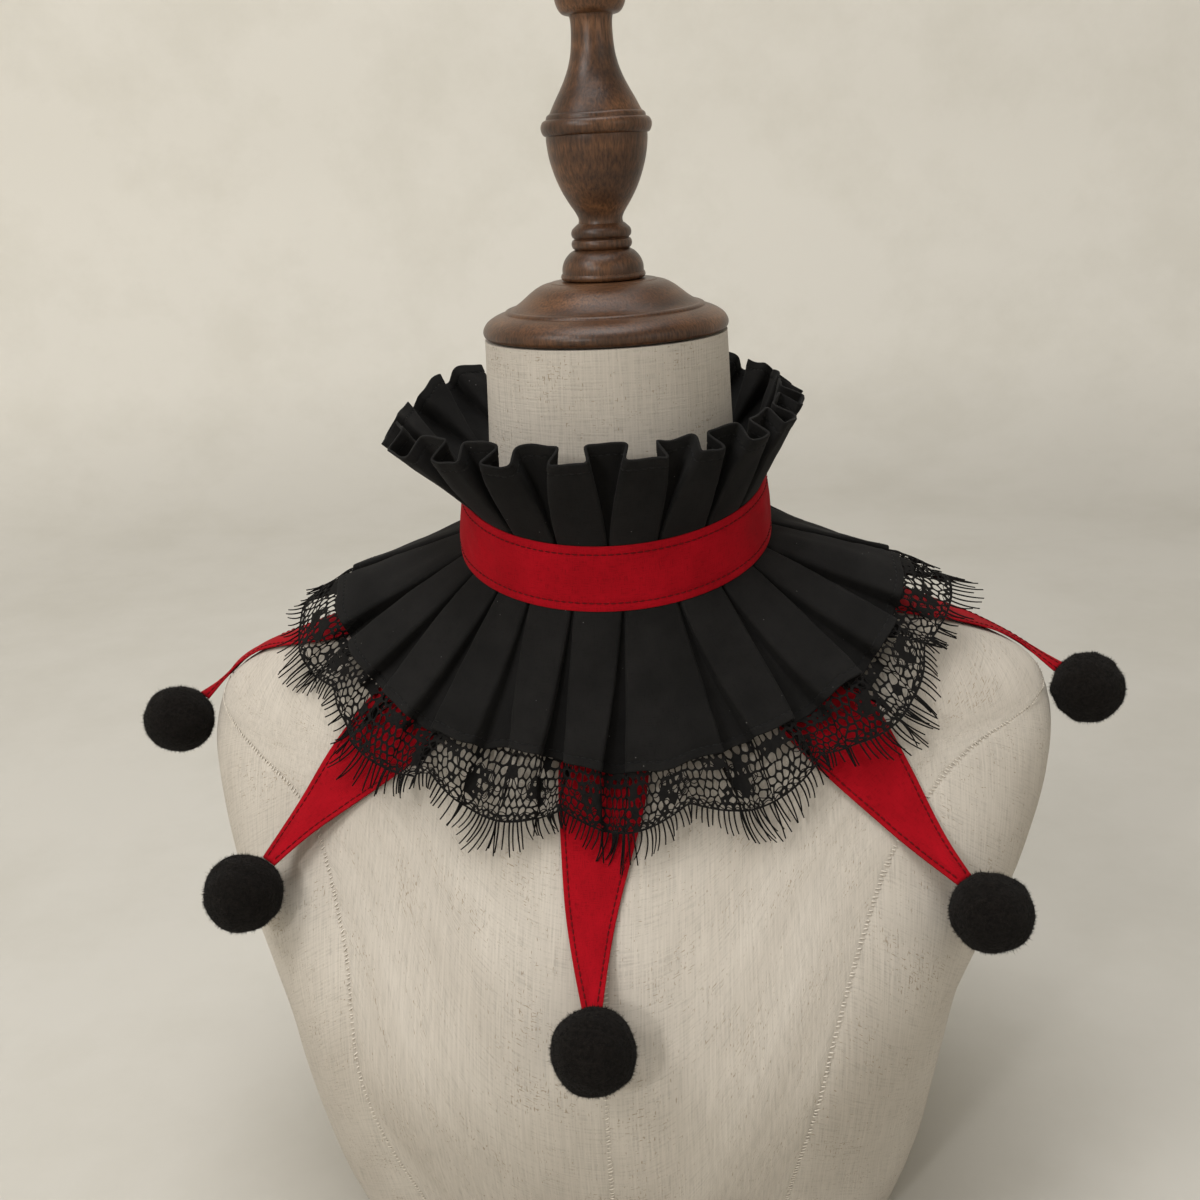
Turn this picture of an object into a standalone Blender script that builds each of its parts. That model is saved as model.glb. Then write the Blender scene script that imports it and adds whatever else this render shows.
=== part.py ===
"""A black and red ruff collar with pompom points, resting on a limbless dress form.

All sizes below are millimetres; add_solid() turns them into metres. The collar's front faces -Y, an azimuth
is measured from the front towards +X, and the form stands on its flat bottom at height 0.
"""
import math
import random

import bmesh
import bpy

MM = 0.001

# Rounds that bring a point off the form, or onto it; the angle above which edges are shaded sharp.
OFF_ROUNDS = 4
DRAPE_ROUNDS = 6
SHARP_ANGLE = 40.0
POMPOM_SHARP_ANGLE = 80.0

# Dress form: sections of the torso and neck, from the neck's top down to the flat bottom.
NECK_TOP = 400.0
FORM_SIDES = 40
FORM_SECTIONS = (
    # height, half width, front, back, squareness, lean to the left
    (400.0, 51.3, 51.3, 51.3, 2.00, 0.0),
    (360.0, 52.8, 53.0, 52.8, 2.00, 0.0),
    (336.0, 54.6, 55.0, 55.8, 2.00, 0.0),
    (323.0, 57.2, 56.8, 60.0, 2.00, 0.0),
    (314.0, 60.3, 58.4, 66.0, 2.00, 0.0),
    (305.0, 65.6, 60.4, 73.0, 1.95, 0.0),
    (297.0, 74.0, 62.2, 80.0, 1.75, 0.0),
    (289.0, 88.0, 64.4, 86.5, 1.58, 0.0),
    (279.0, 114.0, 67.4, 93.0, 1.50, 0.0),
    (266.0, 150.0, 72.0, 99.5, 1.58, 0.0),
    (257.0, 171.5, 75.4, 102.5, 1.75, 0.0),
    (249.0, 184.0, 77.2, 104.5, 1.95, 0.0),
    (239.0, 189.5, 81.5, 106.5, 2.20, 0.0),
    (224.0, 191.0, 90.0, 108.0, 2.50, 0.0),
    (204.0, 188.0, 108.0, 109.0, 2.55, 0.0),
    (180.0, 180.5, 132.0, 108.5, 2.50, 1.0),
    (156.0, 170.0, 148.5, 108.0, 2.45, 2.5),
    (128.0, 159.0, 158.0, 106.0, 2.40, 4.5),
    (94.0, 155.0, 156.5, 104.0, 2.30, 6.0),
    (60.0, 152.0, 147.0, 100.0, 2.20, 7.0),
    (28.0, 147.0, 135.5, 97.0, 2.20, 7.0),
    (0.0, 139.0, 126.0, 95.0, 2.20, 7.0),
)
BUST_HEIGHT = 132.0
BUST_SPREAD = 45.0
BUST_AZIMUTH = 30.0
BUST_WIDTH = 16.0
BUST_RISE = 7.0
BUST_VALLEY = 2.5

# Turned wood: radius and height above the neck's top.
CAP_SIDES = 28
CAP_PROFILE = (
    (49.3, 0.3), (51.1, 1.4), (51.6, 3.4), (50.6, 6.4), (46.8, 9.1), (42.4, 10.9), (39.2, 11.9),
    (34.8, 14.6), (30.4, 18.6), (26.4, 21.0), (20.6, 22.2),
)
FINIAL_SIDES = 20
FINIAL_PROFILE = (
    (16.4, 22.5), (17.3, 24.6), (16.6, 28.6), (13.4, 32.8), (10.4, 34.7), (12.0, 37.4), (10.9, 39.9),
    (12.1, 42.4), (8.7, 46.6), (11.4, 51.5), (15.6, 58.4), (18.6, 66.6), (20.3, 75.6), (20.3, 79.4),
    (22.1, 83.0), (21.0, 86.4), (18.6, 88.0), (15.0, 95.4), (11.5, 101.3), (9.2, 108.4), (8.2, 117.0),
    (8.5, 123.6), (11.9, 126.2), (14.1, 131.4), (14.2, 137.4), (12.0, 144.4), (7.4, 148.4),
)

# Neckband: a tilted ring, lower at the front, open at the centre back.
BAND_TILT = math.tan(math.radians(12.0))
BAND_TOP = 339.2
BAND_BOTTOM = 313.3
BAND_TOP_RADIUS = 66.8
BAND_BOTTOM_RADIUS = 69.2
BAND_WALL = 1.6
BAND_STEPS = 60
BACK_OPENING = 179.3
SEAM_GAP = 0.35

# Ruffs: walls, lengths down the pleats, and how the pleats deepen from seam to hem.
CLOTH_WALL = 1.0
SLIT = 1.9
SEAM_DEPTH = 2.2
LEAST_DEPTH = 2.2
SEAM_BEVEL = 0.45
HEM_BEVEL = 1.2
RUFF_LEVELS = (0.0, 0.3, 0.65, 1.0)
UPPER_DEPTH = 11.0
UPPER_RETURN = 6.4
LOWER_DEPTH = 9.5
LOWER_RETURN = 4.4
SEAM_CLEARANCE = 0.6
LOWER_CLEARANCE = 3.5
CLEARANCE_LEVEL = 0.3
HALF_PLEAT_LEAST = 1.7
SEAM_INSET = 1.0
BEVEL_SHARE = 0.42
MITRE_LEAST = 0.5
MEAN_AZIMUTH = 45.0

UPPER_SHAPE = (
    # azimuth, lean out from upright in degrees, length of the pleats
    (-180.0, 54.0, 34.5),
    (-150.0, 60.0, 34.5),
    (-120.0, 49.5, 39.0),
    (-90.0, 57.0, 38.5),
    (-45.0, 42.0, 43.0),
    (0.0, 27.0, 42.0),
    (45.0, 30.0, 40.5),
    (90.0, 28.5, 35.5),
    (120.0, 44.0, 31.5),
    (150.0, 53.0, 33.5),
    (180.0, 54.0, 34.5),
)
LOWER_SHAPE = (
    # azimuth, slope below level in degrees, length of the pleats
    (-180.0, 46.0, 62.0),
    (-150.0, 46.0, 62.0),
    (-130.0, 41.0, 62.0),
    (-110.0, 25.0, 62.0),
    (-90.0, 18.0, 63.0),
    (-70.0, 30.0, 62.0),
    (-45.0, 45.0, 63.0),
    (-20.0, 58.0, 63.0),
    (0.0, 62.0, 63.0),
    (20.0, 58.0, 63.0),
    (45.0, 45.0, 63.0),
    (70.0, 27.5, 62.5),
    (90.0, 14.5, 58.0),
    (110.0, 26.0, 58.0),
    (130.0, 42.0, 59.0),
    (150.0, 46.0, 61.0),
    (180.0, 46.0, 62.0),
)

UPPER_PLEATS = (
    # face from, face to (at the hem), recess after it (at the band): azimuths
    (-178.0, -167.5, -163.5),
    (-159.5, -149.0, -145.0),
    (-141.0, -131.0, -127.0),
    (-123.0, -113.0, -109.0),
    (-105.0, -94.5, -90.5),
    (-87.0, -75.5, -71.0),
    (-66.0, -54.0, -52.0),
    (-44.0, -34.5, -34.9),
    (-29.5, -20.5, -16.6),
    (-11.5, -1.0, 2.2),
    (8.0, 20.0, 20.2),
    (28.0, 35.5, 38.9),
    (43.0, 52.0, 56.5),
    (59.5, 70.0, 74.0),
    (77.5, 88.0, 91.5),
    (95.0, 105.5, 109.0),
    (112.5, 123.0, 126.5),
    (130.0, 141.0, 144.5),
    (148.0, 158.5, 162.0),
    (166.0, 177.5, BACK_OPENING),
)
LOWER_PLEATS = (
    # face from, face to (at the hem), recess after it (at the band): azimuths
    (-178.0, -167.0, -163.5),
    (-160.5, -149.5, -146.0),
    (-143.0, -132.0, -129.0),
    (-126.0, -114.5, -112.0),
    (-109.0, -97.0, -94.5),
    (-92.0, -76.0, -75.5),
    (-71.5, -61.0, -60.0),
    (-55.2, -46.8, -42.7),
    (-40.8, -31.0, -27.9),
    (-22.5, -15.5, -11.1),
    (-10.0, -1.0, 6.4),
    (4.5, 27.0, 25.9),
    (34.0, 42.8, 44.0),
    (50.0, 59.3, 61.8),
    (65.2, 73.5, 76.0),
    (78.6, 92.0, 94.0),
    (97.0, 109.0, 111.5),
    (114.5, 126.0, 128.5),
    (132.0, 143.0, 145.5),
    (149.0, 160.0, 162.5),
    (166.0, 178.0, BACK_OPENING),
)
LACE_LEFT_PLEATS = 11

# Lace and lashes beyond the lower hem.
LACE_STEEPER = math.radians(14.0)
LACE_NOTCH = 15.0
LACE_SCALLOP = 9.0
SCALLOP_PERIOD = 360.0 / 13
SCALLOP_MIDDLE = 4.0
LACE_EDGE_DEPTH = 0.4
LACE_LEAST_DEPTH = 0.5
LACE_OPENING = 0.8
LACE_HOLE_SIDES = 6
LACE_HOLE_RADIUS = 2.7
LACE_HOLE_PANEL = 7.0
LACE_END = 3.0
LACE_GAP = 0.6
LASH_STRIP = 1.8
LASH_ROOT = 1.0
LASH_LENGTH = (6.5, 11.5)
LASH_FAN = 1.4
LASH_FROM = 0.3
LASH_TO = 0.62
LASH_SPACING = 4.8
LASHES_A_PANEL = 3

# Red points and their pompoms.
POINT_WALL = 1.6
POINT_CLEARANCE = 1.2
POINT_LIFT = 5.0
POINT_TWIST = 0.6
POINT_PROUD = {"right_shoulder": 0.85}
POINT_FACING = (0.0, -0.6, 0.8)
POINT_TAPER = 0.168
POINT_TIP_HALF = 3.8
POINT_FULL = 95.0
POINT_SEAM_HALF = 14.5
POINT_START = 70.5
POINT_ROWS = 10
POINT_COLUMNS = 4
POINT_LINE_STEP = 1.0
POINT_GUIDE_RISE = 200.0
POMPOM_RADIUS = 16.2
POMPOM_UNEVEN = 0.6
POINTS = (
    # name, azimuth at the neck, azimuth and height where it leaves the form, x, y and height of the pompom
    ("front", 2.0, -3.2, 190.0, -2.4, -165.3, 163.2),
    ("left_diagonal", -42.0, -56.5, 226.0, -148.0, -112.0, 196.4),
    ("right_diagonal", 51.0, 54.5, 210.0, 147.5, -113.2, 189.2),
    ("left_shoulder", -78.0, -95.0, 253.0, -206.4, -20.0, 232.7),
    ("right_shoulder", 86.0, 98.0, 251.0, 206.8, -9.0, 238.4),
    ("left_back", -134.0, -132.0, 222.0, -121.0, 109.0, 190.0),
    ("right_back", 134.0, 132.0, 222.0, 121.0, 109.0, 190.0),
)

LOOKS = {
    # colour, roughness
    "linen": ((0.66, 0.60, 0.50), 0.85),
    "wood": ((0.10, 0.050, 0.030), 0.40),
    "red_cotton": ((0.42, 0.012, 0.020), 0.80),
    "black_cotton": ((0.012, 0.011, 0.014), 0.80),
    "black_lace": ((0.010, 0.010, 0.010), 0.70),
    "black_pompom": ((0.006, 0.006, 0.006), 0.95),
}


def clear_scene():
    for thing in list(bpy.data.objects):
        bpy.data.objects.remove(thing, do_unlink=True)


def look(name):
    """The Principled material of one of the LOOKS."""
    material = bpy.data.materials.get(name)
    if material is None:
        material = bpy.data.materials.new(name)
        material.use_nodes = True
        shader = material.node_tree.nodes["Principled BSDF"]
        colour, roughness = LOOKS[name]
        shader.inputs["Base Color"].default_value = (*colour, 1.0)
        shader.inputs["Roughness"].default_value = roughness
        shader.inputs["Metallic"].default_value = 0.0
    return material


def add_solid(name, points, faces, look_name, sharp=SHARP_ANGLE):
    """One closed body from points in millimetres, with its faces turned outwards."""
    body = bmesh.new()
    corners = [body.verts.new((x * MM, y * MM, z * MM)) for x, y, z in points]
    for face in faces:
        body.faces.new([corners[index] for index in face])
    bmesh.ops.recalc_face_normals(body, faces=body.faces)
    mesh = bpy.data.meshes.new(name)
    body.to_mesh(mesh)
    body.free()
    mesh.shade_smooth()
    mesh.set_sharp_from_angle(angle=math.radians(sharp))
    mesh.materials.append(look(look_name))
    solid = bpy.data.objects.new(name, mesh)
    bpy.context.scene.collection.objects.link(solid)
    return solid


def blend(start, end, share):
    return start + (end - start) * share


def place(azimuth, radius, height):
    """The point at an azimuth in degrees, a distance from the form's axis and a height."""
    angle = math.radians(azimuth)
    return (radius * math.sin(angle), -radius * math.cos(angle), height)


# ---------------------------------------------------------------- dress form


def smooth_row(rows, key):
    """The other columns of a table at a key of its first column, on a smooth curve through its rows."""
    index = 0
    while index < len(rows) - 2 and (key - rows[index + 1][0]) * (rows[-1][0] - rows[0][0]) > 0:
        index += 1
    start, end = rows[index], rows[index + 1]
    before, after = rows[max(index - 1, 0)], rows[min(index + 2, len(rows) - 1)]
    span = end[0] - start[0]
    share = min(max((key - start[0]) / span, 0.0), 1.0)
    cube, square = share ** 3, share ** 2
    values = []
    for column in range(1, len(start)):
        leave = (end[column] - before[column]) / (end[0] - before[0]) * span
        arrive = (after[column] - start[column]) / (after[0] - start[0]) * span
        values.append(
            (2 * cube - 3 * square + 1) * start[column] + (cube - 2 * square + share) * leave
            + (3 * square - 2 * cube) * end[column] + (cube - square) * arrive
        )
    return values


def turned_back(azimuth):
    """The same azimuth between -180 and 180 degrees."""
    return (azimuth + 180.0) % 360.0 - 180.0


def form_radius(azimuth, height):
    """Distance from the axis to the form's surface."""
    half_width, front, back, squareness, lean = smooth_row(FORM_SECTIONS, height)
    angle = math.radians(azimuth)
    depth = front if math.cos(angle) > 0 else back
    across = (abs(math.sin(angle)) / half_width) ** squareness
    along = (abs(math.cos(angle)) / depth) ** squareness
    radius = (across + along) ** (-1 / squareness) - lean * math.sin(angle)
    turned = turned_back(azimuth)
    crown = BUST_RISE * math.exp(-(((abs(turned) - BUST_AZIMUTH) / BUST_WIDTH) ** 2))
    valley = BUST_VALLEY * math.exp(-((turned / BUST_WIDTH) ** 2))
    return radius + (crown - valley) * math.exp(-(((height - BUST_HEIGHT) / BUST_SPREAD) ** 2))


def off_form(azimuth, radius, height, gap):
    """Move a point out along the form's normal until it is at least a gap away from the form."""
    for _ in range(OFF_ROUNDS):
        slope = (form_radius(azimuth, height + 1) - form_radius(azimuth, height - 1)) / 2
        scale = math.hypot(1, slope)
        move = gap - (radius - form_radius(azimuth, height)) / scale
        if move <= 0:
            break
        radius += move / scale
        height -= slope * move / scale
    return radius, height


def clear_of_form(point, gap):
    x, y, height = point
    azimuth = math.degrees(math.atan2(x, -y))
    return place(azimuth, *off_form(azimuth, math.hypot(x, y), height, gap))


def make_form():
    points = []
    for height in [row[0] for row in FORM_SECTIONS]:
        for side in range(FORM_SIDES):
            azimuth = 360.0 * side / FORM_SIDES
            points.append(place(azimuth, form_radius(azimuth, height), height))
    add_solid("form_torso", points, tube_faces(len(FORM_SECTIONS), FORM_SIDES), "linen")


def tube_faces(rings, sides):
    """Faces of a stack of rings, closed by a polygon at each end."""
    faces = [list(range(sides)), list(range((rings - 1) * sides, rings * sides))]
    for ring in range(rings - 1):
        for side in range(sides):
            following = (side + 1) % sides
            low, high = ring * sides, (ring + 1) * sides
            faces.append((low + side, low + following, high + following, high + side))
    return faces


def make_turned(name, profile, sides):
    points = []
    for radius, height in profile:
        points += [place(360.0 * side / sides, radius, NECK_TOP + height) for side in range(sides)]
    add_solid(name, points, tube_faces(len(profile), sides), "wood")


# ---------------------------------------------------------------- collar: common shapes


def band_height(azimuth, radius, level):
    """Height of the tilted ring at a level (BAND_TOP or BAND_BOTTOM)."""
    return level - radius * math.cos(math.radians(azimuth)) * BAND_TILT


def strip_faces(columns, rows):
    """Faces of a closed strip whose columns each hold rows of outer points and then rows of inner points."""
    faces = []
    size = 2 * rows
    for column in range(columns - 1):
        here, there = column * size, (column + 1) * size
        for corner in range(size):
            following = (corner + 1) % size
            faces.append((here + corner, there + corner, there + following, here + following))
    for end in (0, (columns - 1) * size):
        for row in range(rows - 1):
            faces.append((end + row, end + row + 1, end + size - 2 - row, end + size - 1 - row))
    return faces


def make_band():
    points = []
    for step in range(BAND_STEPS + 1):
        azimuth = blend(-BACK_OPENING, BACK_OPENING, step / BAND_STEPS)
        outline = (
            (BAND_TOP_RADIUS, BAND_TOP), (BAND_BOTTOM_RADIUS, BAND_BOTTOM),
            (BAND_BOTTOM_RADIUS - BAND_WALL, BAND_BOTTOM), (BAND_TOP_RADIUS - BAND_WALL, BAND_TOP),
        )
        for radius, level in outline:
            points.append(place(azimuth, radius, band_height(azimuth, radius, level)))
    add_solid("neck_band", points, strip_faces(BAND_STEPS + 1, 2), "red_cotton")


def upper_line(azimuth, level):
    """Radius, height and outward normal of the upper ruff's outer folds; level 0 is the seam, 1 the hem."""
    degrees, length = smooth_row(UPPER_SHAPE, turned_back(azimuth))
    lean = math.radians(degrees)
    radius = BAND_TOP_RADIUS - SEAM_INSET
    height = band_height(azimuth, radius, BAND_TOP) + SEAM_GAP + CLOTH_WALL / 2 * math.sin(lean)
    reach = length * level
    return (
        radius + reach * math.sin(lean), height + reach * math.cos(lean),
        math.cos(lean), -math.sin(lean),
    )


def lower_slope(azimuth):
    return math.radians(smooth_row(LOWER_SHAPE, turned_back(azimuth))[0])


def lower_line(azimuth, level):
    """Radius, height and outward normal of the lower ruff's outer folds; level 0 is the seam, 1 the hem."""
    degrees, length = smooth_row(LOWER_SHAPE, turned_back(azimuth))
    slope = math.radians(degrees)
    radius = BAND_BOTTOM_RADIUS - SEAM_INSET
    height = band_height(azimuth, radius, BAND_BOTTOM) - SEAM_GAP - CLOTH_WALL / 2 * math.cos(slope)
    reach = length * level
    return (
        radius + reach * math.cos(slope), height - reach * math.sin(slope),
        math.sin(slope), math.cos(slope),
    )


def fold_path(pleats, level, depth, return_width, seam_radius):
    """The fold corners round the collar at a level, as azimuths and insets: four for each pleat."""
    slit = math.degrees(SLIT / seam_radius)
    pleat_depth = blend(SEAM_DEPTH, depth, level)
    path = []
    seam_before = -BACK_OPENING
    hem_before = -BACK_OPENING
    for index, (hem_from, hem_to, seam_after) in enumerate(pleats):
        last = index == len(pleats) - 1
        hem_after = BACK_OPENING if last else (hem_to + pleats[index + 1][0]) / 2
        middle = (hem_from + hem_to) / 2
        inner_from = hem_from if index == 0 else hem_before + return_width
        inner_to = hem_to if last else hem_after - return_width
        inner_from = min(inner_from, middle - HALF_PLEAT_LEAST)
        inner_to = max(inner_to, middle + HALF_PLEAT_LEAST)
        face_from = blend(seam_before + slit / 2, hem_from, level)
        face_to = blend(seam_after - slit / 2, hem_to, level)
        path.append((blend(seam_before + slit / 2, inner_from, level), -pleat_depth))
        path.append((face_from, 0.0))
        path.append((face_to, 0.0))
        path.append((blend(seam_after - slit / 2, inner_to, level), -pleat_depth))
        seam_before, hem_before = seam_after, hem_after
    return path


def bevelled(path, cut):
    """Swap each corner of an open path, but its ends, for two points cut back along its two sides."""
    points = [path[0]]
    for before, corner, after in zip(path, path[1:], path[2:]):
        for neighbour in (before, after):
            length = math.dist(corner, neighbour)
            share = min(cut / length, BEVEL_SHARE)
            points.append((blend(corner[0], neighbour[0], share), blend(corner[1], neighbour[1], share)))
    points.append(path[-1])
    return points


def parallel(path, distance):
    """An open path moved sideways."""
    points = []
    for index, corner in enumerate(path):
        sides = []
        if index > 0:
            sides.append((path[index - 1], corner))
        if index < len(path) - 1:
            sides.append((corner, path[index + 1]))
        across, out = 0.0, 0.0
        for start, end in sides:
            length = math.dist(start, end)
            across -= (end[1] - start[1]) / length / len(sides)
            out += (end[0] - start[0]) / length / len(sides)
        size = math.hypot(across, out)
        reach = distance / max(size, MITRE_LEAST) / size
        points.append((corner[0] + across * reach, corner[1] + out * reach))
    return points


def wall_sides(path, radius, bevel):
    """Outer and inner sides of a wall along a path of azimuths and insets."""
    scale = math.radians(1) * radius
    flat = [(azimuth * scale, inset) for azimuth, inset in path]
    if bevel:
        flat = bevelled(flat, bevel)
    sides = []
    for distance in (CLOTH_WALL / 2, -CLOTH_WALL / 2):
        sides.append([(along / scale, inset) for along, inset in parallel(flat, distance)])
    return sides


def on_line(line, azimuth, level, inset):
    radius, height, out, up = line(azimuth, level)
    return (azimuth, radius + out * inset, height + up * inset)


def raise_pair(high, low, gap):
    """Move a wall's two points together until the lower one is clear of the form."""
    azimuth, radius, height = low
    new_radius, new_height = off_form(azimuth, radius, height, gap)
    raised = (high[0], high[1] + new_radius - radius, high[2] + new_height - height)
    return raised, (azimuth, new_radius, new_height)


def clearance(level):
    return blend(SEAM_CLEARANCE, LOWER_CLEARANCE, min(level / CLEARANCE_LEVEL, 1.0))


def shallower(path, outer_fold, gap, least=LEAST_DEPTH):
    """The same path with its inner folds no deeper than the room between the outer folds and the form."""
    fitted = []
    for azimuth, inset in path:
        if inset < 0:
            radius, height = outer_fold(azimuth)
            slope = (form_radius(azimuth, height + 1) - form_radius(azimuth, height - 1)) / 2
            room = (radius - form_radius(azimuth, height)) / math.hypot(1, slope) - gap - CLOTH_WALL
            inset = -min(-inset, max(room, least))
        fitted.append((azimuth, inset))
    return fitted


def make_ruff(name, line, pleats, depth, return_width, over_form):
    """A box-pleated wall from its seam to its hem."""
    columns = None
    for level in RUFF_LEVELS:
        path = fold_path(pleats, level, depth, return_width, line(0.0, 0.0)[0])
        if over_form:
            path = shallower(path, lambda azimuth: line(azimuth, level)[:2], clearance(level))
        bevel = blend(SEAM_BEVEL, HEM_BEVEL, level)
        outer_side, inner_side = wall_sides(path, line(MEAN_AZIMUTH, level)[0], bevel)
        if columns is None:
            columns = [([], []) for _ in outer_side]
        for column, outer, inner in zip(columns, outer_side, inner_side):
            high = on_line(line, outer[0], level, outer[1])
            low = on_line(line, inner[0], level, inner[1])
            if over_form:
                high, low = raise_pair(high, low, clearance(level))
            column[0].append(place(*high))
            column[1].append(place(*low))
    points = []
    for outer, inner in columns:
        points += outer + list(reversed(inner))
    add_solid(name, points, strip_faces(len(columns), len(RUFF_LEVELS)), "black_cotton")


# ---------------------------------------------------------------- lace and lashes


def lace_rows(pleats, first, last):
    """Columns of one half of the lace: kind, then outer top, outer edge, inner edge and inner top points."""
    path = fold_path(pleats, 1.0, LOWER_DEPTH, LOWER_RETURN, BAND_BOTTOM_RADIUS)
    path = path[4 * first:4 * last]
    kinds = ["inner", "corner", "corner", "inner"] * (last - first)
    if first > 0:
        path.insert(0, (path[0][0] - LACE_END, path[0][1]))
        kinds.insert(0, "end")
    if last < len(pleats):
        path.append((path[-1][0] + LACE_END, path[-1][1]))
        kinds.append("end")
    path = shallower(path, lambda azimuth: lower_line(azimuth, 1.0)[:2], LOWER_CLEARANCE)
    shallow = opened(path, kinds)
    shallow = shallower(shallow, lace_edge, LOWER_CLEARANCE, LACE_LEAST_DEPTH)
    tops = wall_sides(path, lower_line(MEAN_AZIMUTH, 1.0)[0], 0)
    edges = wall_sides(shallow, lower_line(MEAN_AZIMUTH, 1.0)[0] + LACE_NOTCH, 0)
    rows = []
    for index, kind in enumerate(kinds):
        depth = lace_depth(path[index][0])
        top = [lace_point(*side[index], 0.0) for side in tops]
        edge = [lace_point(*side[index], depth) for side in edges]
        top = raise_pair(*top, LOWER_CLEARANCE)
        edge = raise_pair(*edge, LOWER_CLEARANCE)
        row = [place(*point) for point in (top[0], edge[0], edge[1], top[1])]
        if kind == "corner" and kinds[index - 1] == "corner":
            rows.append(("middle", halfway(rows[-1][1], row, path[index - 1][0], path[index][0])))
        rows.append((kind, row))
    return rows


def opened(path, kinds):
    """The lace's folds at its edge: shallower, with their inner corners spread outside the outer ones."""
    spread = []
    for index, (azimuth, inset) in enumerate(path):
        if kinds[index] == "inner":
            if "corner" in kinds[index + 1:index + 2]:
                azimuth = path[index + 1][0] - LACE_OPENING
            elif "corner" in kinds[max(index - 1, 0):index]:
                azimuth = path[index - 1][0] + LACE_OPENING
        spread.append((azimuth, inset * LACE_EDGE_DEPTH))
    return spread


def lace_point(azimuth, inset, distance):
    """A point of the lace: beyond the ruff's hem, in a steeper direction."""
    _, radius, height = on_line(lower_line, azimuth, 1.0, inset)
    slope = lower_slope(azimuth)
    fall = slope + LACE_STEEPER * math.cos(slope)
    reach = LACE_GAP + distance
    return azimuth, radius + reach * math.cos(fall), height - reach * math.sin(fall)


def lace_depth(azimuth):
    """How far the lace hangs below the ruff's hem: round scallops between sharp notches."""
    return LACE_NOTCH + LACE_SCALLOP * abs(math.cos(math.pi * (azimuth - SCALLOP_MIDDLE) / SCALLOP_PERIOD))


def lace_edge(azimuth):
    return lace_point(azimuth, 0.0, lace_depth(azimuth))[1:]


def halfway(before, after, before_azimuth, after_azimuth):
    """The row halfway between two corners, with its edge at its own depth."""
    row = [mix(a, b, 0.5) for a, b in zip(before, after)]
    depth = lace_depth((before_azimuth + after_azimuth) / 2)
    share = depth * 2 / (lace_depth(before_azimuth) + lace_depth(after_azimuth))
    return [row[0], mix(row[0], row[1], share), mix(row[3], row[2], share), row[3]]


def mix(start, end, share):
    return tuple(blend(a, b, share) for a, b in zip(start, end))


def unit(vector):
    length = math.hypot(*vector)
    return tuple(part / length for part in vector)


def toward(start, direction, distance):
    return tuple(a + b * distance for a, b in zip(start, direction))


def between(start, end):
    return tuple(b - a for a, b in zip(start, end))


def make_lace(name, rows):
    """A folded lace wall with its largest gaps cut through the wider panels."""
    points = [point for _, row in rows for point in row]
    faces = [(0, 1, 2, 3)]
    for index in range(len(rows) - 1):
        here, there = index * 4, index * 4 + 4
        faces.append((here, there, there + 3, here + 3))
        faces.append((here + 1, there + 1, there + 2, here + 2))
        outer = (here + 1, there + 1, there, here)
        inner = (here + 2, there + 2, there + 3, here + 3)
        is_return = {rows[index][0], rows[index + 1][0]} == {"inner", "corner"}
        width = math.dist(points[outer[0]], points[outer[1]])
        if width > LACE_HOLE_PANEL and not is_return:
            add_hole(points, faces, outer, inner)
        else:
            faces += [outer, inner]
    end = len(rows) * 4 - 4
    faces.append((end, end + 1, end + 2, end + 3))
    add_solid(name, points, faces, "black_lace")


def add_hole(points, faces, outer, inner):
    """Cut one six-sided gap through a panel, between its outer and inner quads."""
    rings = []
    for quad in (outer, inner):
        low_left, low_right, high_right, high_left = [points[index] for index in quad]
        width = math.dist(mix(low_left, high_left, 0.5), mix(low_right, high_right, 0.5))
        height = math.dist(mix(low_left, low_right, 0.5), mix(high_left, high_right, 0.5))
        ring = []
        for step in range(LACE_HOLE_SIDES):
            angle = math.radians(360.0 * step / LACE_HOLE_SIDES)
            share = 0.5 + LACE_HOLE_RADIUS * math.cos(angle) / width
            rise = 0.5 + LACE_HOLE_RADIUS * math.sin(angle) / height
            points.append(mix(mix(low_left, low_right, share), mix(high_left, high_right, share), rise))
            ring.append(len(points) - 1)
        a, b, c, d = quad
        east, north_east, north_west, west, south_west, south_east = ring
        faces += [
            (b, c, east), (c, north_east, east), (c, d, north_east), (d, north_west, north_east),
            (d, west, north_west), (d, a, west), (a, south_west, west), (a, b, south_west),
            (b, south_east, south_west), (b, east, south_east),
        ]
        rings.append(ring)
    for step in range(LACE_HOLE_SIDES):
        following = (step + 1) % LACE_HOLE_SIDES
        faces.append((rings[0][step], rings[0][following], rings[1][following], rings[1][step]))


def lash_stations(rows):
    """Places along the lace's edge: the column before, the share of the way on, and whether a lash starts."""
    stations = []
    for index in range(len(rows) - 1):
        kinds = {rows[index][0], rows[index + 1][0]}
        width = math.dist(rows[index][1][1], rows[index + 1][1][1])
        count = 0 if kinds == {"inner", "corner"} else min(round(width / LASH_SPACING), LASHES_A_PANEL)
        stations.append((index, 0.0, False))
        for lash in range(count):
            stations.append((index, (lash + LASH_FROM) / count, True))
            stations.append((index, (lash + LASH_TO) / count, False))
    stations.append((len(rows) - 2, 1.0, False))
    return stations


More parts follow.
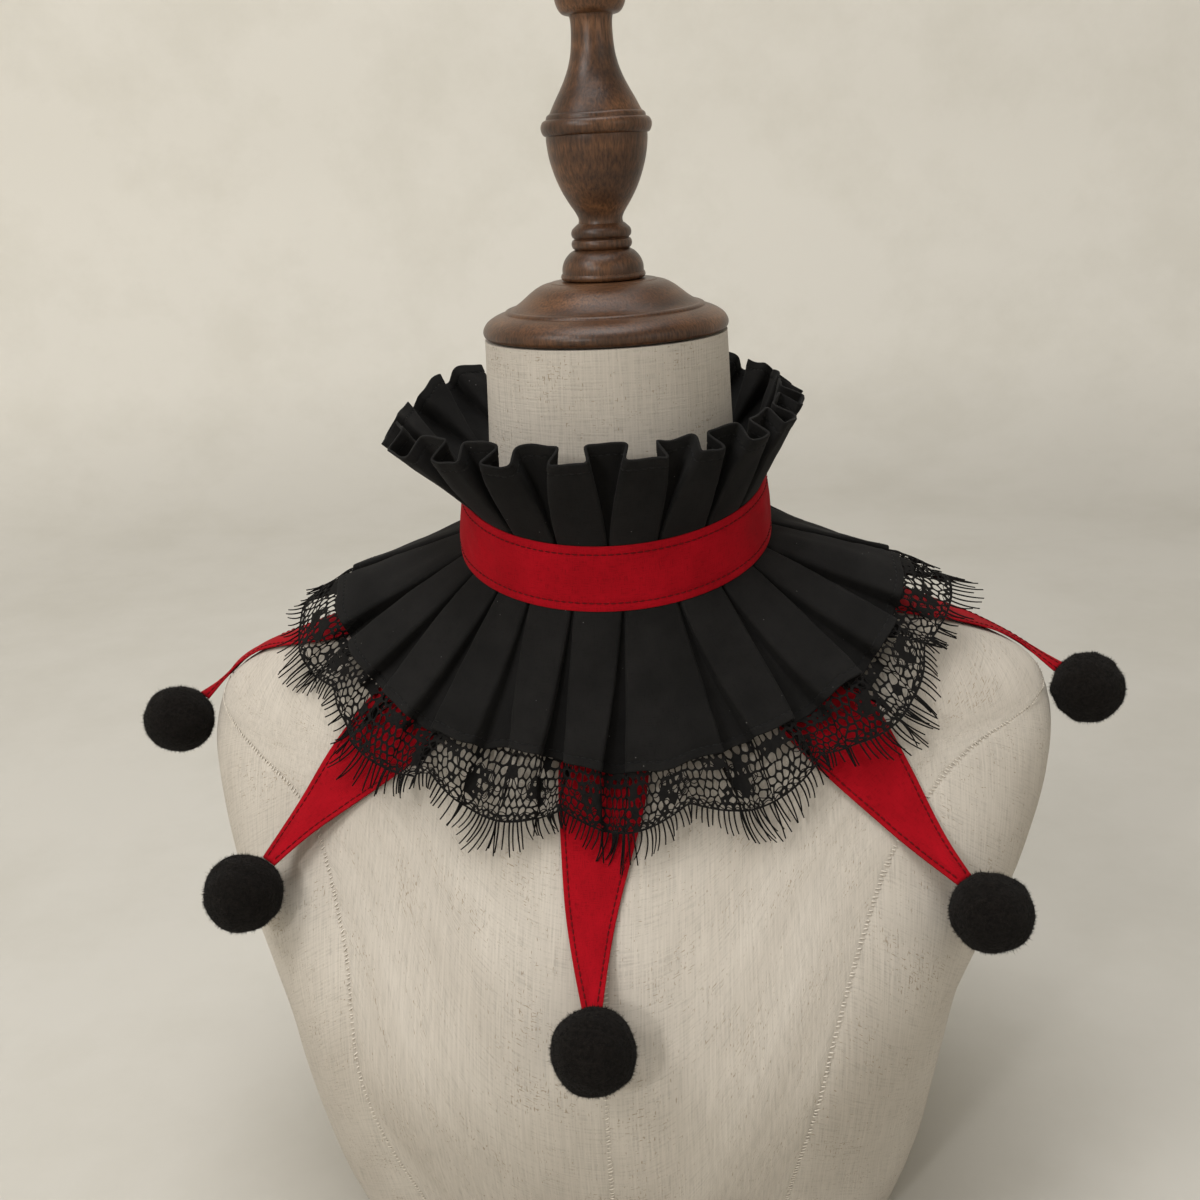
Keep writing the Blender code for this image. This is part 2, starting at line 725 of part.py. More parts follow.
def make_lashes(name, rows, seed):
    """A narrow strip along the lace's edge with tapered lashes standing out of it."""
    dice = random.Random(seed)
    points, faces, sections, tips = [], [(0, 1, 2)], [], []
    for index, share, starts_lash in lash_stations(rows):
        outer_top, outer_edge, inner_edge, inner_top = [
            mix(a, b, share) for a, b in zip(rows[index][1], rows[index + 1][1])
        ]
        edge = mix(outer_edge, inner_edge, 0.5)
        down = unit(between(mix(outer_top, inner_top, 0.5), edge))
        out = unit(between(inner_edge, outer_edge))
        base = toward(edge, down, SEAM_GAP + LASH_STRIP)
        points.append(toward(edge, down, SEAM_GAP))
        points.append(toward(base, out, LASH_ROOT / 2))
        points.append(toward(base, out, -LASH_ROOT / 2))
        sections.append((starts_lash, down))
    for index in range(len(sections) - 1):
        here, there = index * 3, index * 3 + 3
        for side in (1, 2):
            faces.append((here, there, there + side))
            faces.append((here, there + side, here + side))
        bottom = (here + 1, there + 1, there + 2, here + 2)
        starts_lash, down = sections[index]
        if starts_lash:
            middle = mix(points[bottom[0]], points[bottom[2]], 0.5)
            sideways = unit(between(points[here + 1], points[there + 1]))
            tip = toward(middle, down, dice.uniform(*LASH_LENGTH))
            tip = toward(tip, sideways, dice.uniform(-LASH_FAN, LASH_FAN))
            top = 3 * len(sections) + len(tips)
            tips.append(clear_of_form(tip, LOWER_CLEARANCE))
            faces += [(bottom[k], bottom[(k + 1) % 4], top) for k in range(4)]
        else:
            faces.append(bottom)
    end = len(sections) * 3 - 3
    faces.append((end, end + 1, end + 2))
    add_solid(name, points + tips, faces, "black_lace")


# ---------------------------------------------------------------- points and pompoms


def point_line(neck_azimuth, last_azimuth, last_height, pompom):
    """The middle of a red point: down the form from the neck seam, then off it to the top of its pompom."""
    line = []
    height = BAND_BOTTOM
    while height > last_height:
        share = (BAND_BOTTOM - height) / (BAND_BOTTOM - last_height)
        turned = blend(neck_azimuth, last_azimuth, share)
        if form_radius(turned, height) >= POINT_START:
            line.append(place(turned, *on_form(turned, height)))
        height -= POINT_LINE_STEP
    back = unit(between(pompom, line[-1]))
    line.append(toward(pompom, back, POMPOM_RADIUS + SEAM_GAP))
    return resampled(line, POINT_ROWS)


def on_form(azimuth, height):
    """Radius and height of the point that stands off the form's surface by the points' clearance."""
    slope = (form_radius(azimuth, height + 1) - form_radius(azimuth, height - 1)) / 2
    scale = math.hypot(1, slope)
    return form_radius(azimuth, height) + POINT_CLEARANCE / scale, height - slope * POINT_CLEARANCE / scale


def resampled(line, count):
    """Evenly spaced points along a chain of points."""
    reached = [0.0]
    for start, end in zip(line, line[1:]):
        reached.append(reached[-1] + math.dist(start, end))
    points = []
    for step in range(count):
        target = reached[-1] * step / (count - 1)
        index = 0
        while index < len(line) - 2 and reached[index + 1] < target:
            index += 1
        share = (target - reached[index]) / (reached[index + 1] - reached[index])
        points.append(mix(line[index], line[index + 1], share))
    return points


def point_half_width(distance, length):
    """Half the width of a point at a distance from its tip: tapered, but narrow again at the neck seam."""
    if distance <= POINT_FULL:
        return POINT_TIP_HALF + POINT_TAPER * distance
    widest = POINT_TIP_HALF + POINT_TAPER * POINT_FULL
    return blend(widest, POINT_SEAM_HALF, (distance - POINT_FULL) / max(length - POINT_FULL, 1.0))


def off_surface(point):
    """A point's distance from the form, along the form's normal."""
    azimuth = math.degrees(math.atan2(point[0], -point[1]))
    slope = (form_radius(azimuth, point[2] + 1) - form_radius(azimuth, point[2] - 1)) / 2
    return (math.hypot(point[0], point[1]) - form_radius(azimuth, point[2])) / math.hypot(1, slope)


def point_side(centre, ahead, hanging):
    """The direction across a point: level round the form, and turned to face up and out where it hangs."""
    level = unit((-centre[1], centre[0], 0.0))
    turned = unit(cross(ahead, POINT_FACING))
    if dot(turned, level) < 0:
        turned = tuple(-part for part in turned)
    side = mix(level, turned, POINT_TWIST * hanging)
    return unit(toward(side, ahead, -dot(side, ahead)))


def make_point(name, neck_azimuth, last_azimuth, last_height, pompom):
    middle = point_line(neck_azimuth, last_azimuth, last_height, pompom)
    steps = [math.dist(a, b) for a, b in zip(middle, middle[1:])]
    length = sum(steps)
    points = []
    for row, centre in enumerate(middle):
        half = point_half_width(sum(steps[row:]), length)
        ahead = unit(between(middle[max(row - 1, 0)], middle[min(row + 1, POINT_ROWS - 1)]))
        hanging = min(max((off_surface(centre) - POINT_CLEARANCE) / POINT_LIFT, POINT_PROUD.get(name, 0.0)), 1.0)
        sideways = point_side(centre, ahead, hanging)
        lift = unit(cross(ahead, sideways))
        if dot(lift, (centre[0], centre[1], POINT_GUIDE_RISE)) < 0:
            lift = tuple(-part for part in lift)
        outer, inner = [], []
        for step in range(POINT_COLUMNS):
            side = blend(-half, half, step / (POINT_COLUMNS - 1))
            low = draped(toward(centre, sideways, side), hanging)
            inner.append(low)
            outer.append(toward(low, lift, POINT_WALL))
        points += outer + list(reversed(inner))
    add_solid(f"point_{name}", points, strip_faces(POINT_ROWS, POINT_COLUMNS), "red_cotton")


def dot(a, b):
    return a[0] * b[0] + a[1] * b[1] + a[2] * b[2]


def cross(a, b):
    return (a[1] * b[2] - a[2] * b[1], a[2] * b[0] - a[0] * b[2], a[0] * b[1] - a[1] * b[0])


def draped(point, hanging):
    """A point laid on the form, or only kept clear of it where the cloth hangs free (hanging is 1)."""
    x, y, height = point
    azimuth = math.degrees(math.atan2(x, -y))
    radius = math.hypot(x, y)
    for _ in range(DRAPE_ROUNDS):
        slope = (form_radius(azimuth, height + 1) - form_radius(azimuth, height - 1)) / 2
        scale = math.hypot(1, slope)
        move = POINT_CLEARANCE - (radius - form_radius(azimuth, height)) / scale
        if move < 0:
            move *= 1 - hanging
        radius += move / scale
        height -= slope * move / scale
    return place(azimuth, radius, height)


def make_pompom(name, centre, seed):
    dice = random.Random(seed)
    ball = bmesh.new()
    bmesh.ops.create_icosphere(ball, subdivisions=3, radius=POMPOM_RADIUS)
    ball.verts.index_update()
    points = []
    for corner in ball.verts:
        stretch = 1.0 - dice.uniform(0.0, POMPOM_UNEVEN) / POMPOM_RADIUS
        points.append(toward(centre, corner.co, stretch))
    faces = [[corner.index for corner in face.verts] for face in ball.faces]
    ball.free()
    add_solid(f"pompom_{name}", points, faces, "black_pompom", sharp=POMPOM_SHARP_ANGLE)


def main():
    clear_scene()
    make_form()
    make_turned("neck_cap", CAP_PROFILE, CAP_SIDES)
    make_turned("finial", FINIAL_PROFILE, FINIAL_SIDES)
    make_band()
    make_ruff("upper_ruff", upper_line, UPPER_PLEATS, UPPER_DEPTH, UPPER_RETURN, False)
    make_ruff("lower_ruff", lower_line, LOWER_PLEATS, LOWER_DEPTH, LOWER_RETURN, True)
    halves = (("left", 0, LACE_LEFT_PLEATS), ("right", LACE_LEFT_PLEATS, len(LOWER_PLEATS)))
    for seed, (half, first, last) in enumerate(halves):
        rows = lace_rows(LOWER_PLEATS, first, last)
        make_lace(f"lace_{half}", rows)
        make_lashes(f"lashes_{half}", rows, seed)
    for seed, (name, neck_azimuth, last_azimuth, last_height, x, y, height) in enumerate(POINTS):
        make_point(name, neck_azimuth, last_azimuth, last_height, (x, y, height))
        make_pompom(name, (x, y, height), seed)


main()
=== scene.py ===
"""Looks for the ruff collar on its dress form: fine cloth, lace, lashes, pile, linen and turned wood.

Sizes are millimetres until add_piece() turns them into metres. The front of the collar faces -Y, azimuths are
degrees from the front towards +X, and the form stands on its flat bottom at height 0.
"""

import math
import random
from collections import namedtuple

import bmesh
import bpy
import numpy as np
from mathutils import Matrix, Vector

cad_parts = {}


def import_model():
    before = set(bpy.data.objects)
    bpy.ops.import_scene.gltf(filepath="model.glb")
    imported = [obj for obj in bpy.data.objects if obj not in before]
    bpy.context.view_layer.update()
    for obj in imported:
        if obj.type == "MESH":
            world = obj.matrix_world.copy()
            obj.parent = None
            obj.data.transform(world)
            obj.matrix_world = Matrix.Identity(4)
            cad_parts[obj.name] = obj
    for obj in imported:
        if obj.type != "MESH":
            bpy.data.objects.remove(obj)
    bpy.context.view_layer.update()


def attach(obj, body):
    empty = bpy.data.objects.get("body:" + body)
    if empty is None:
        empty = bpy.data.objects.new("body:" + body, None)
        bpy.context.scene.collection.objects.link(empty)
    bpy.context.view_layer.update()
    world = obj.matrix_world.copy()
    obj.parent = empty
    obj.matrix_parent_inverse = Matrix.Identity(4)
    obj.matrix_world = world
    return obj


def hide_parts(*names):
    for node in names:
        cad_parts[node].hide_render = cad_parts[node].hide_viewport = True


MM = 0.001

# ---------------------------------------------------------------- sizes shared with the solids

NECK_TOP = 400.0
FORM_SECTIONS = (
    # height, half width, front, back, squareness, lean to the left
    (400.0, 51.3, 51.3, 51.3, 2.00, 0.0),
    (360.0, 52.8, 53.0, 52.8, 2.00, 0.0),
    (336.0, 54.6, 55.0, 55.8, 2.00, 0.0),
    (323.0, 57.2, 56.8, 60.0, 2.00, 0.0),
    (314.0, 60.3, 58.4, 66.0, 2.00, 0.0),
    (305.0, 65.6, 60.4, 73.0, 1.95, 0.0),
    (297.0, 74.0, 62.2, 80.0, 1.75, 0.0),
    (289.0, 88.0, 64.4, 86.5, 1.58, 0.0),
    (279.0, 114.0, 67.4, 93.0, 1.50, 0.0),
    (266.0, 150.0, 72.0, 99.5, 1.58, 0.0),
    (257.0, 171.5, 75.4, 102.5, 1.75, 0.0),
    (249.0, 184.0, 77.2, 104.5, 1.95, 0.0),
    (239.0, 189.5, 81.5, 106.5, 2.20, 0.0),
    (224.0, 191.0, 90.0, 108.0, 2.50, 0.0),
    (204.0, 188.0, 108.0, 109.0, 2.55, 0.0),
    (180.0, 180.5, 132.0, 108.5, 2.50, 1.0),
    (156.0, 170.0, 148.5, 108.0, 2.45, 2.5),
    (128.0, 159.0, 158.0, 106.0, 2.40, 4.5),
    (94.0, 155.0, 156.5, 104.0, 2.30, 6.0),
    (60.0, 152.0, 147.0, 100.0, 2.20, 7.0),
    (28.0, 147.0, 135.5, 97.0, 2.20, 7.0),
    (0.0, 139.0, 126.0, 95.0, 2.20, 7.0),
)
BUST_HEIGHT = 132.0
BUST_SPREAD = 45.0
BUST_AZIMUTH = 30.0
BUST_WIDTH = 16.0
BUST_RISE = 7.0
BUST_VALLEY = 2.5

BAND_TILT = math.tan(math.radians(12.0))
BAND_TOP = 339.2
BAND_BOTTOM = 313.3
BAND_TOP_RADIUS = 66.8
BAND_BOTTOM_RADIUS = 69.2
BAND_WALL = 1.6
BACK_OPENING = 179.3
SEAM_GAP = 0.35

CLOTH_WALL = 1.0
SLIT = 1.9
SEAM_DEPTH = 2.2
LEAST_DEPTH = 2.2
UPPER_DEPTH = 11.0
UPPER_RETURN = 6.4
LOWER_DEPTH = 9.5
LOWER_RETURN = 4.4
SEAM_CLEARANCE = 0.6
LOWER_CLEARANCE = 3.5
CLEARANCE_LEVEL = 0.3
HALF_PLEAT_LEAST = 1.7
SEAM_INSET = 1.0
BEVEL_SHARE = 0.42
MEAN_AZIMUTH = 45.0
CLEAR_ROUNDS = 4

UPPER_SHAPE = (
    # azimuth, lean out from upright in degrees, length of the pleats
    (-180.0, 54.0, 34.5),
    (-150.0, 60.0, 34.5),
    (-120.0, 49.5, 39.0),
    (-90.0, 57.0, 38.5),
    (-45.0, 42.0, 43.0),
    (0.0, 27.0, 42.0),
    (45.0, 30.0, 40.5),
    (90.0, 28.5, 35.5),
    (120.0, 44.0, 31.5),
    (150.0, 53.0, 33.5),
    (180.0, 54.0, 34.5),
)
LOWER_SHAPE = (
    # azimuth, slope below level in degrees, length of the pleats
    (-180.0, 46.0, 62.0),
    (-150.0, 46.0, 62.0),
    (-130.0, 41.0, 62.0),
    (-110.0, 25.0, 62.0),
    (-90.0, 18.0, 63.0),
    (-70.0, 30.0, 62.0),
    (-45.0, 45.0, 63.0),
    (-20.0, 58.0, 63.0),
    (0.0, 62.0, 63.0),
    (20.0, 58.0, 63.0),
    (45.0, 45.0, 63.0),
    (70.0, 27.5, 62.5),
    (90.0, 14.5, 58.0),
    (110.0, 26.0, 58.0),
    (130.0, 42.0, 59.0),
    (150.0, 46.0, 61.0),
    (180.0, 46.0, 62.0),
)
UPPER_PLEATS = (
    # face from, face to (at the hem), recess after it (at the band): azimuths
    (-179.0, -167.5, -163.5),
    (-159.5, -149.0, -145.0),
    (-141.0, -131.0, -127.0),
    (-123.0, -113.0, -109.0),
    (-105.0, -94.5, -90.5),
    (-87.0, -75.5, -71.0),
    (-66.0, -54.0, -52.0),
    (-44.0, -34.5, -34.9),
    (-29.5, -20.5, -16.6),
    (-11.5, -1.0, 2.2),
    (8.0, 20.0, 20.2),
    (28.0, 35.5, 38.9),
    (43.0, 52.0, 56.5),
    (59.5, 70.0, 74.0),
    (77.5, 88.0, 91.5),
    (95.0, 105.5, 109.0),
    (112.5, 123.0, 126.5),
    (130.0, 141.0, 144.5),
    (148.0, 158.5, 162.0),
    (166.0, 179.0, BACK_OPENING),
)
LOWER_PLEATS = (
    # face from, face to (at the hem), recess after it (at the band): azimuths
    (-179.2, -167.0, -163.5),
    (-160.5, -149.5, -146.0),
    (-143.0, -132.0, -129.0),
    (-126.0, -114.5, -112.0),
    (-109.0, -97.0, -94.5),
    (-92.0, -76.0, -75.5),
    (-71.5, -61.0, -60.0),
    (-55.2, -46.8, -42.7),
    (-40.8, -31.0, -27.9),
    (-22.5, -15.5, -11.1),
    (-10.0, -1.0, 6.4),
    (4.5, 27.0, 25.9),
    (34.0, 42.8, 44.0),
    (50.0, 59.3, 61.8),
    (65.2, 73.5, 76.0),
    (78.6, 92.0, 94.0),
    (97.0, 109.0, 111.5),
    (114.5, 126.0, 128.5),
    (132.0, 143.0, 145.5),
    (149.0, 160.0, 162.5),
    (166.0, 179.2, BACK_OPENING),
)
LACE_LEFT_PLEATS = 11
LACE_STEEPER = math.radians(14.0)
LACE_NOTCH = 15.0
LACE_SCALLOP = 9.0
LACE_FADE = 4.0
SCALLOP_PERIOD = 360.0 / 13
SCALLOP_MIDDLE = 4.0
LACE_EDGE_DEPTH = 0.4
LACE_LEAST_DEPTH = 0.5
LACE_OPENING = 0.8
LACE_GAP = 0.6

POINT_CLEARANCE = 1.2
POINT_LIFT = 5.0
POINT_TAPER = 0.168
POINT_TIP_HALF = 3.8
POINT_FULL = 95.0
POINT_SEAM_HALF = 14.5
POINT_START = 70.5
POMPOM_RADIUS = 16.2
TIP_SUNK = 0.8
POINT_TWIST = 0.6
POINT_PROUD = {"right_shoulder": 0.85}
POINT_FACING = (0.0, -0.6, 0.8)
POINTS = (
    # name, azimuth at the neck, azimuth and height where it may leave the form, x, y and height of the pompom
    ("front", 2.0, -3.2, 190.0, -2.4, -165.3, 163.2),
    ("left_diagonal", -42.0, -56.5, 226.0, -148.0, -112.0, 196.4),
    ("right_diagonal", 51.0, 54.5, 210.0, 147.5, -113.2, 189.2),
    ("left_shoulder", -78.0, -95.0, 253.0, -206.4, -20.0, 232.7),
    ("right_shoulder", 86.0, 98.0, 251.0, 206.8, -9.0, 238.4),
    ("left_back", -134.0, -132.0, 222.0, -121.0, 109.0, 190.0),
    ("right_back", 134.0, 132.0, 222.0, 121.0, 109.0, 190.0),
)

# ---------------------------------------------------------------- finer sizes for the looks

# Linen form: seams as azimuths down the body. Grooves, swells, puckers and stitches are widths and heights.
FRONT_SEAM_RIGHT = (
    # height, azimuth
    (300.0, 80.0), (262.0, 93.0), (248.0, 91.0), (243.0, 87.0), (236.0, 71.0), (220.0, 58.5), (197.0, 46.0),
    (172.0, 36.3), (144.0, 29.8), (105.0, 26.5), (66.0, 26.5), (0.0, 28.0),
)
FRONT_SEAM_LEFT = (
    # height, azimuth
    (300.0, -80.0), (258.0, -93.0), (245.0, -88.0), (238.0, -77.0), (222.0, -61.5), (199.0, -49.8),
    (172.0, -39.8), (132.0, -33.7), (100.0, -31.5), (66.0, -30.6), (0.0, -31.0),
)
SIDE_SEAM = 112.0
BACK_SEAM = 152.0
SEAM_TOP = 262.0
SEAM_FADE = 12.0
SEAM_REACH = 30.0
SEAM_GROOVE = (0.7, 0.45)
SEAM_SWELL = (4.0, 0.12)
SEAM_PUCKER = (6.0, 5.5, 0.16)
SEAM_PUCKER_SIDES = (0.8, 1.0)
SEAM_WANDER = (17.0, 2.2)
FORM_SEED = 5
FORM_STEP = 2.0
FORM_PANEL_COLUMNS = 22
FORM_SHARP = 60.0
STITCHED_SEAMS = (3, 4, 5)
SEAM_STITCH_PITCH = 1.9
SEAM_STITCH_LENGTH = 2.3
SEAM_STITCH_RISE = 0.52
SEAM_STITCH_SLANT = 0.35
SEAM_STITCH_STRAY = (0.12, 0.15)
SEAM_STITCH_VARIES = (0.75, 1.15)
SEAM_STITCH_SEED = 71

# Turned wood: runs of (radius, height above the neck's top), with a sharp line between two runs.
CAP_RUNS = (
    ((0.0, 0.4), (30.0, 0.4), (49.0, 0.4)),
    ((49.0, 0.4), (50.9, 1.0), (51.8, 2.6), (51.6, 4.5), (50.2, 6.7), (47.5, 8.6), (44.5, 9.9), (42.7, 10.4)),
    ((42.4, 10.5), (42.0, 11.2), (41.2, 11.7), (40.2, 11.9)),
    ((40.0, 11.8), (37.8, 12.9), (34.9, 14.9), (31.8, 17.4), (28.9, 19.5), (25.8, 21.0), (22.6, 21.8)),
    ((22.4, 21.6), (21.2, 22.1), (10.0, 22.2), (0.0, 22.2)),
)
FINIAL_RUNS = (
    ((0.0, 22.4), (8.0, 22.4), (16.2, 22.4)),
    ((16.2, 22.4), (17.3, 22.9), (17.7, 24.1), (17.3, 25.2)),
    ((17.0, 25.2), (16.9, 28.0), (15.7, 31.0), (13.6, 33.4), (11.5, 34.6)),
    ((11.3, 34.7), (12.2, 35.5), (12.6, 36.9), (12.2, 38.3), (11.3, 39.0)),
    ((11.3, 39.1), (12.2, 39.9), (12.5, 41.4), (12.0, 42.8), (10.9, 43.9), (9.6, 45.0)),
    ((9.3, 45.0), (9.1, 46.9), (10.3, 49.6), (12.9, 53.6), (16.0, 59.3), (18.4, 65.6), (19.9, 71.5),
     (20.6, 77.0), (20.6, 79.4)),
    ((20.6, 79.4), (21.6, 79.9), (22.4, 81.5), (22.5, 83.3), (21.7, 85.0), (20.4, 85.7)),
    ((20.3, 85.7), (19.9, 87.1), (18.9, 87.9)),
    ((18.7, 87.9), (16.5, 92.2), (13.8, 97.0), (11.6, 101.4), (9.9, 106.0), (8.8, 111.0), (8.3, 117.0),
     (8.3, 121.4), (8.7, 123.8)),
    ((8.8, 123.8), (11.6, 124.6), (13.5, 127.4), (14.4, 131.6), (14.4, 136.2), (13.2, 141.6), (10.6, 145.9),
     (6.8, 148.1), (0.0, 148.5)),
)
TURNED_SIDES = 96
TURNED_LEAST_RADIUS = 0.01
TURNED_LEAST_STEP = 0.02
TURNED_SHARP = 28.0
RUN_STEPS = 4

# Ruffs: levels down the pleats, from a little behind the band, then hems and creases.
RUFF_LEVELS = (
    -0.07, -0.035, 0.0, 0.03, 0.07, 0.12, 0.18, 0.25, 0.32, 0.40, 0.48, 0.56, 0.64, 0.71, 0.78, 0.83, 0.865,
)
ARC_STEPS = 4
SIDE_STEPS = 6
SEAM_ROUND = 1.0
CLOTH_THICK = 0.8
HEM_THICKER = 0.22
HEM_GROOVE = (0.35, 0.25)
HEM_STEP = 0.35
HEM_SWINGS = (9, 14, 23, 31)
HEM_SWING_GROWTH = 1.5
CREASE_FADE = 5
RELIEF_SLOWS = 0.35
RUFF_CLEARANCE = 0.7
RUFF_OUTER_CLEARANCE = (0.2, 0.6)
RUFF_LIFT = 60.0
RUFF_WAVES = ((38.0, 0.40), (15.0, 0.20), (7.0, 0.07))
LOWER_HEM_SHIFT = (
    # azimuth, how much longer the pleats are there
    (-180.0, 0.0), (-60.0, 0.0), (-40.0, -1.0), (-30.0, -2.5), (-22.0, -4.5), (-13.0, -4.5), (-8.0, -2.5),
    (2.0, 0.5), (12.0, 1.0), (26.0, -0.5), (32.0, -2.5), (40.0, -2.0), (55.0, 0.0), (180.0, 0.0),
)
UPPER_CREASES = (
    # from azimuth and level, to azimuth and level, half width, rise (a trough is below 0)
    (-60.0, 0.1, -58.0, 0.8, 2.5, -0.5),
    (-25.0, 0.0, -24.0, 0.6, 2.0, -0.4),
    (-8.0, 0.05, -5.0, 0.7, 2.2, -0.5),
    (12.0, 0.1, 15.5, 0.85, 3.0, -0.7),
    (31.0, 0.0, 32.0, 0.7, 1.8, 0.4),
    (46.0, 0.1, 49.0, 0.8, 2.2, -0.5),
    (81.0, 0.0, 84.0, 0.7, 2.4, 0.5),
    (-100.0, 0.1, -98.0, 0.8, 2.5, -0.6),
    (-154.0, 0.0, -155.0, 0.8, 2.2, 0.5),
    (117.0, 0.1, 119.0, 0.8, 2.5, -0.6),
    (152.0, 0.0, 154.0, 0.7, 2.0, 0.5),
)
LOWER_CREASES = (
    # from azimuth and level, to azimuth and level, half width, rise (a trough is below 0)
    (8.5, 0.0, 20.0, 1.0, 4.5, -1.1),
    (12.0, 0.0, 24.0, 0.6, 3.0, 0.6),
    (-7.0, 0.05, -5.0, 0.7, 2.2, -0.4),
    (-20.0, 0.1, -18.5, 0.9, 2.0, 0.4),
    (-37.0, 0.0, -35.0, 0.8, 2.6, -0.6),
    (-51.0, 0.1, -52.0, 0.8, 2.4, 0.5),
    (-66.0, 0.0, -68.0, 0.9, 2.8, -0.7),
    (-85.0, 0.1, -82.0, 0.9, 4.0, -0.9),
    (38.0, 0.1, 39.5, 0.7, 2.2, -0.5),
    (54.0, 0.0, 55.0, 0.9, 2.4, 0.5),
    (69.0, 0.1, 70.0, 0.8, 2.4, -0.6),
    (85.0, 0.0, 86.0, 0.9, 3.5, 0.8),
    (102.0, 0.1, 104.0, 0.9, 3.0, -0.7),
    (120.0, 0.0, 121.0, 0.8, 2.6, 0.5),
    (137.0, 0.1, 139.0, 0.9, 3.0, -0.7),
    (155.0, 0.0, 154.0, 0.8, 2.4, 0.5),
    (-103.0, 0.1, -104.0, 0.9, 3.0, -0.7),
    (-120.0, 0.0, -121.0, 0.8, 2.6, 0.5),
    (-138.0, 0.1, -137.0, 0.9, 3.0, -0.7),
    (-155.0, 0.0, -156.0, 0.8, 2.4, 0.5),
)

# Neckband and points: steps and stitch lines in from the edges. A pucker is a width and a rise.
EDGE_STEPS = (0.0, 0.35, 0.9)
BAND_ROWS = 15
BAND_COLUMNS = 300
BAND_STITCH = 3.3
BAND_STITCH_SIDE = 0.45
BAND_PUCKER = (2.4, 0.10)
BAND_PUCKER_WANDER = (23.0, 2.0)
BAND_WAVES = ((46.0, 0.35), (17.0, 0.16), (8.0, 0.07))
POINT_ROWS = 84
POINT_COLUMNS = 15
POINT_STITCH = 2.0
POINT_STITCH_SIDE = 0.4
POINT_STITCH_SHARE = 0.55
POINT_PUCKER = (1.5, 0.08)
POINT_DEEPEST = -0.3
POINT_PRESSED = 0.8
POINT_THICK = 1.5
POINT_SIDE_LIFT = 200.0
POINT_TAUT_ROUNDS = 4
POINT_TAUT_STEPS = 25
POINT_SMOOTH_STEPS = 40
POINT_DRAPE_ROUNDS = 5
POINT_WAVES = ((42.0, 0.5), (16.0, 0.16))
EDGE_ROLL = (1.1, 0.45)
STITCH_GROOVE = (0.7, 0.42)

# Stitches: short threads whose ends dip into the cloth.
STITCH_LENGTH = 2.5
STITCH_PITCH = 2.9
STITCH_RADIUS = 0.28
STITCH_SIDES = 5
STITCH_DIP = 0.25
STITCH_SUNK = 0.16
HEM_STITCH_SUNK = 0.10
STITCH_RINGS = (
    # share of the length, share of the radius
    (0.0, 0.45), (0.3, 1.0), (0.7, 1.0), (1.0, 0.45),
)

# Lace net: a strip of jittered six-sided cells with rounded holes, worked with rosettes and outline cords.
LACE_PITCH = 2.9
LACE_ROWS = (0.0, 0.13, 0.27, 0.41, 0.55, 0.69, 0.81, 0.91, 0.985, 1.0)
LACE_ZIGZAG = 0.020
LACE_JITTER = (0.62, 0.027)
LACE_THICK = 0.34
LACE_HOLE = (0.72, 0.86)
LACE_RIM_HOLE = (0.40, 0.75)
LACE_DENSE_HOLE = (0.05, 0.50)
LACE_LEAST_HOLE = 0.2
LACE_CLOSED_SHARE = 0.04
LACE_SHARP = 50.0
LACE_LAP = 7.0
LACE_UNDER = 1.3
LACE_ROUND = 1.4
LACE_EDGE_ROUND = 3.0
LACE_WAVES = ((26.0, 0.9), (11.0, 0.35))
LACE_GRID_STEP = 0.9
LACE_GRID_ROWS = 17
LACE_WHOLE = LACE_NOTCH + LACE_SCALLOP + LACE_LAP
ROSETTE_PITCH = 37.0
ROSETTE_MIDDLE = 0.58
ROSETTE_PETALS = 7
ROSETTE_RING = 1.5
ROSETTE_REACH = 6.4
ROSETTE_RING_HOLE = 0.7
PETAL_FROM = -0.35
PETAL_BETWEEN_HOLE = (0.6, 0.75)
PETAL_CORD_REACH = ROSETTE_REACH * 0.9
LEAF_MIDDLE = 0.36
LEAF_REACH = (5.8, 3.0)
LEAF_CORD_STEPS = 14
LEAF_CORD_SWING = 0.10
RING_CORD_STEPS = 56
CORD_RADIUS = 0.2
CORD_STEP = 0.8
CORD_LAST_SHARE = 0.992
CORD_SIDES = 4
RING_CORDS = (
    # radius, waviness
    (ROSETTE_RING, 0.0), (ROSETTE_REACH * 0.86, 0.17), (ROSETTE_REACH * 1.02, 0.12),
)
RIM_CORDS = (
    # share down the lace, swing of that share, length of a swing
    (0.885, 0.018, 5.2), (0.955, 0.016, 3.4),
)

# Lashes: least and most spacing, lengths and curls at a notch and a scallop's tip, and radii at root and tip.
LASH_SPACING = (1.7, 2.3)
LASH_LENGTH = (7.0, 14.5)
LASH_CURL = 2.8
LASH_CURL_SWING = (13.0, 0.8)
LASH_CURL_AT = (0.7, 1.8)
LASH_STRAY = 0.15
LASH_FAN = 0.05
LASH_SQUARE = 0.6
LASH_RADIUS = (0.46, 0.32)
LASH_STEPS = 6
LASH_SIDES = 3
LASH_ROOT = 0.985
LASH_LENGTH_VARIES = (0.72, 1.12)
LASH_LIFT = (-0.8, 1.2)
LASH_CLEAR = 1.2

# Pompoms: pile fibres on a lumpy ball.
PILE_BALL = 15.5
PILE_LUMPS = 0.75
PILE_FIBRES = 9000
PILE_LENGTH = (0.8, 1.35)
PILE_WIDTH = 0.26
PILE_SPREAD = 0.7
PILE_ROOT = 0.5
PILE_STRAYS = (0.006, 2.6)
PILE_WAVES = (3.0, 3.0, 6.0, 6.0, 6.0, 13.0, 13.0, 13.0, 13.0)


# ---------------------------------------------------------------- shapes shared with the solids


def blend(start, end, share):
    return start + (end - start) * share


def mix(start, end, share):
    return tuple(blend(a, b, share) for a, b in zip(start, end))


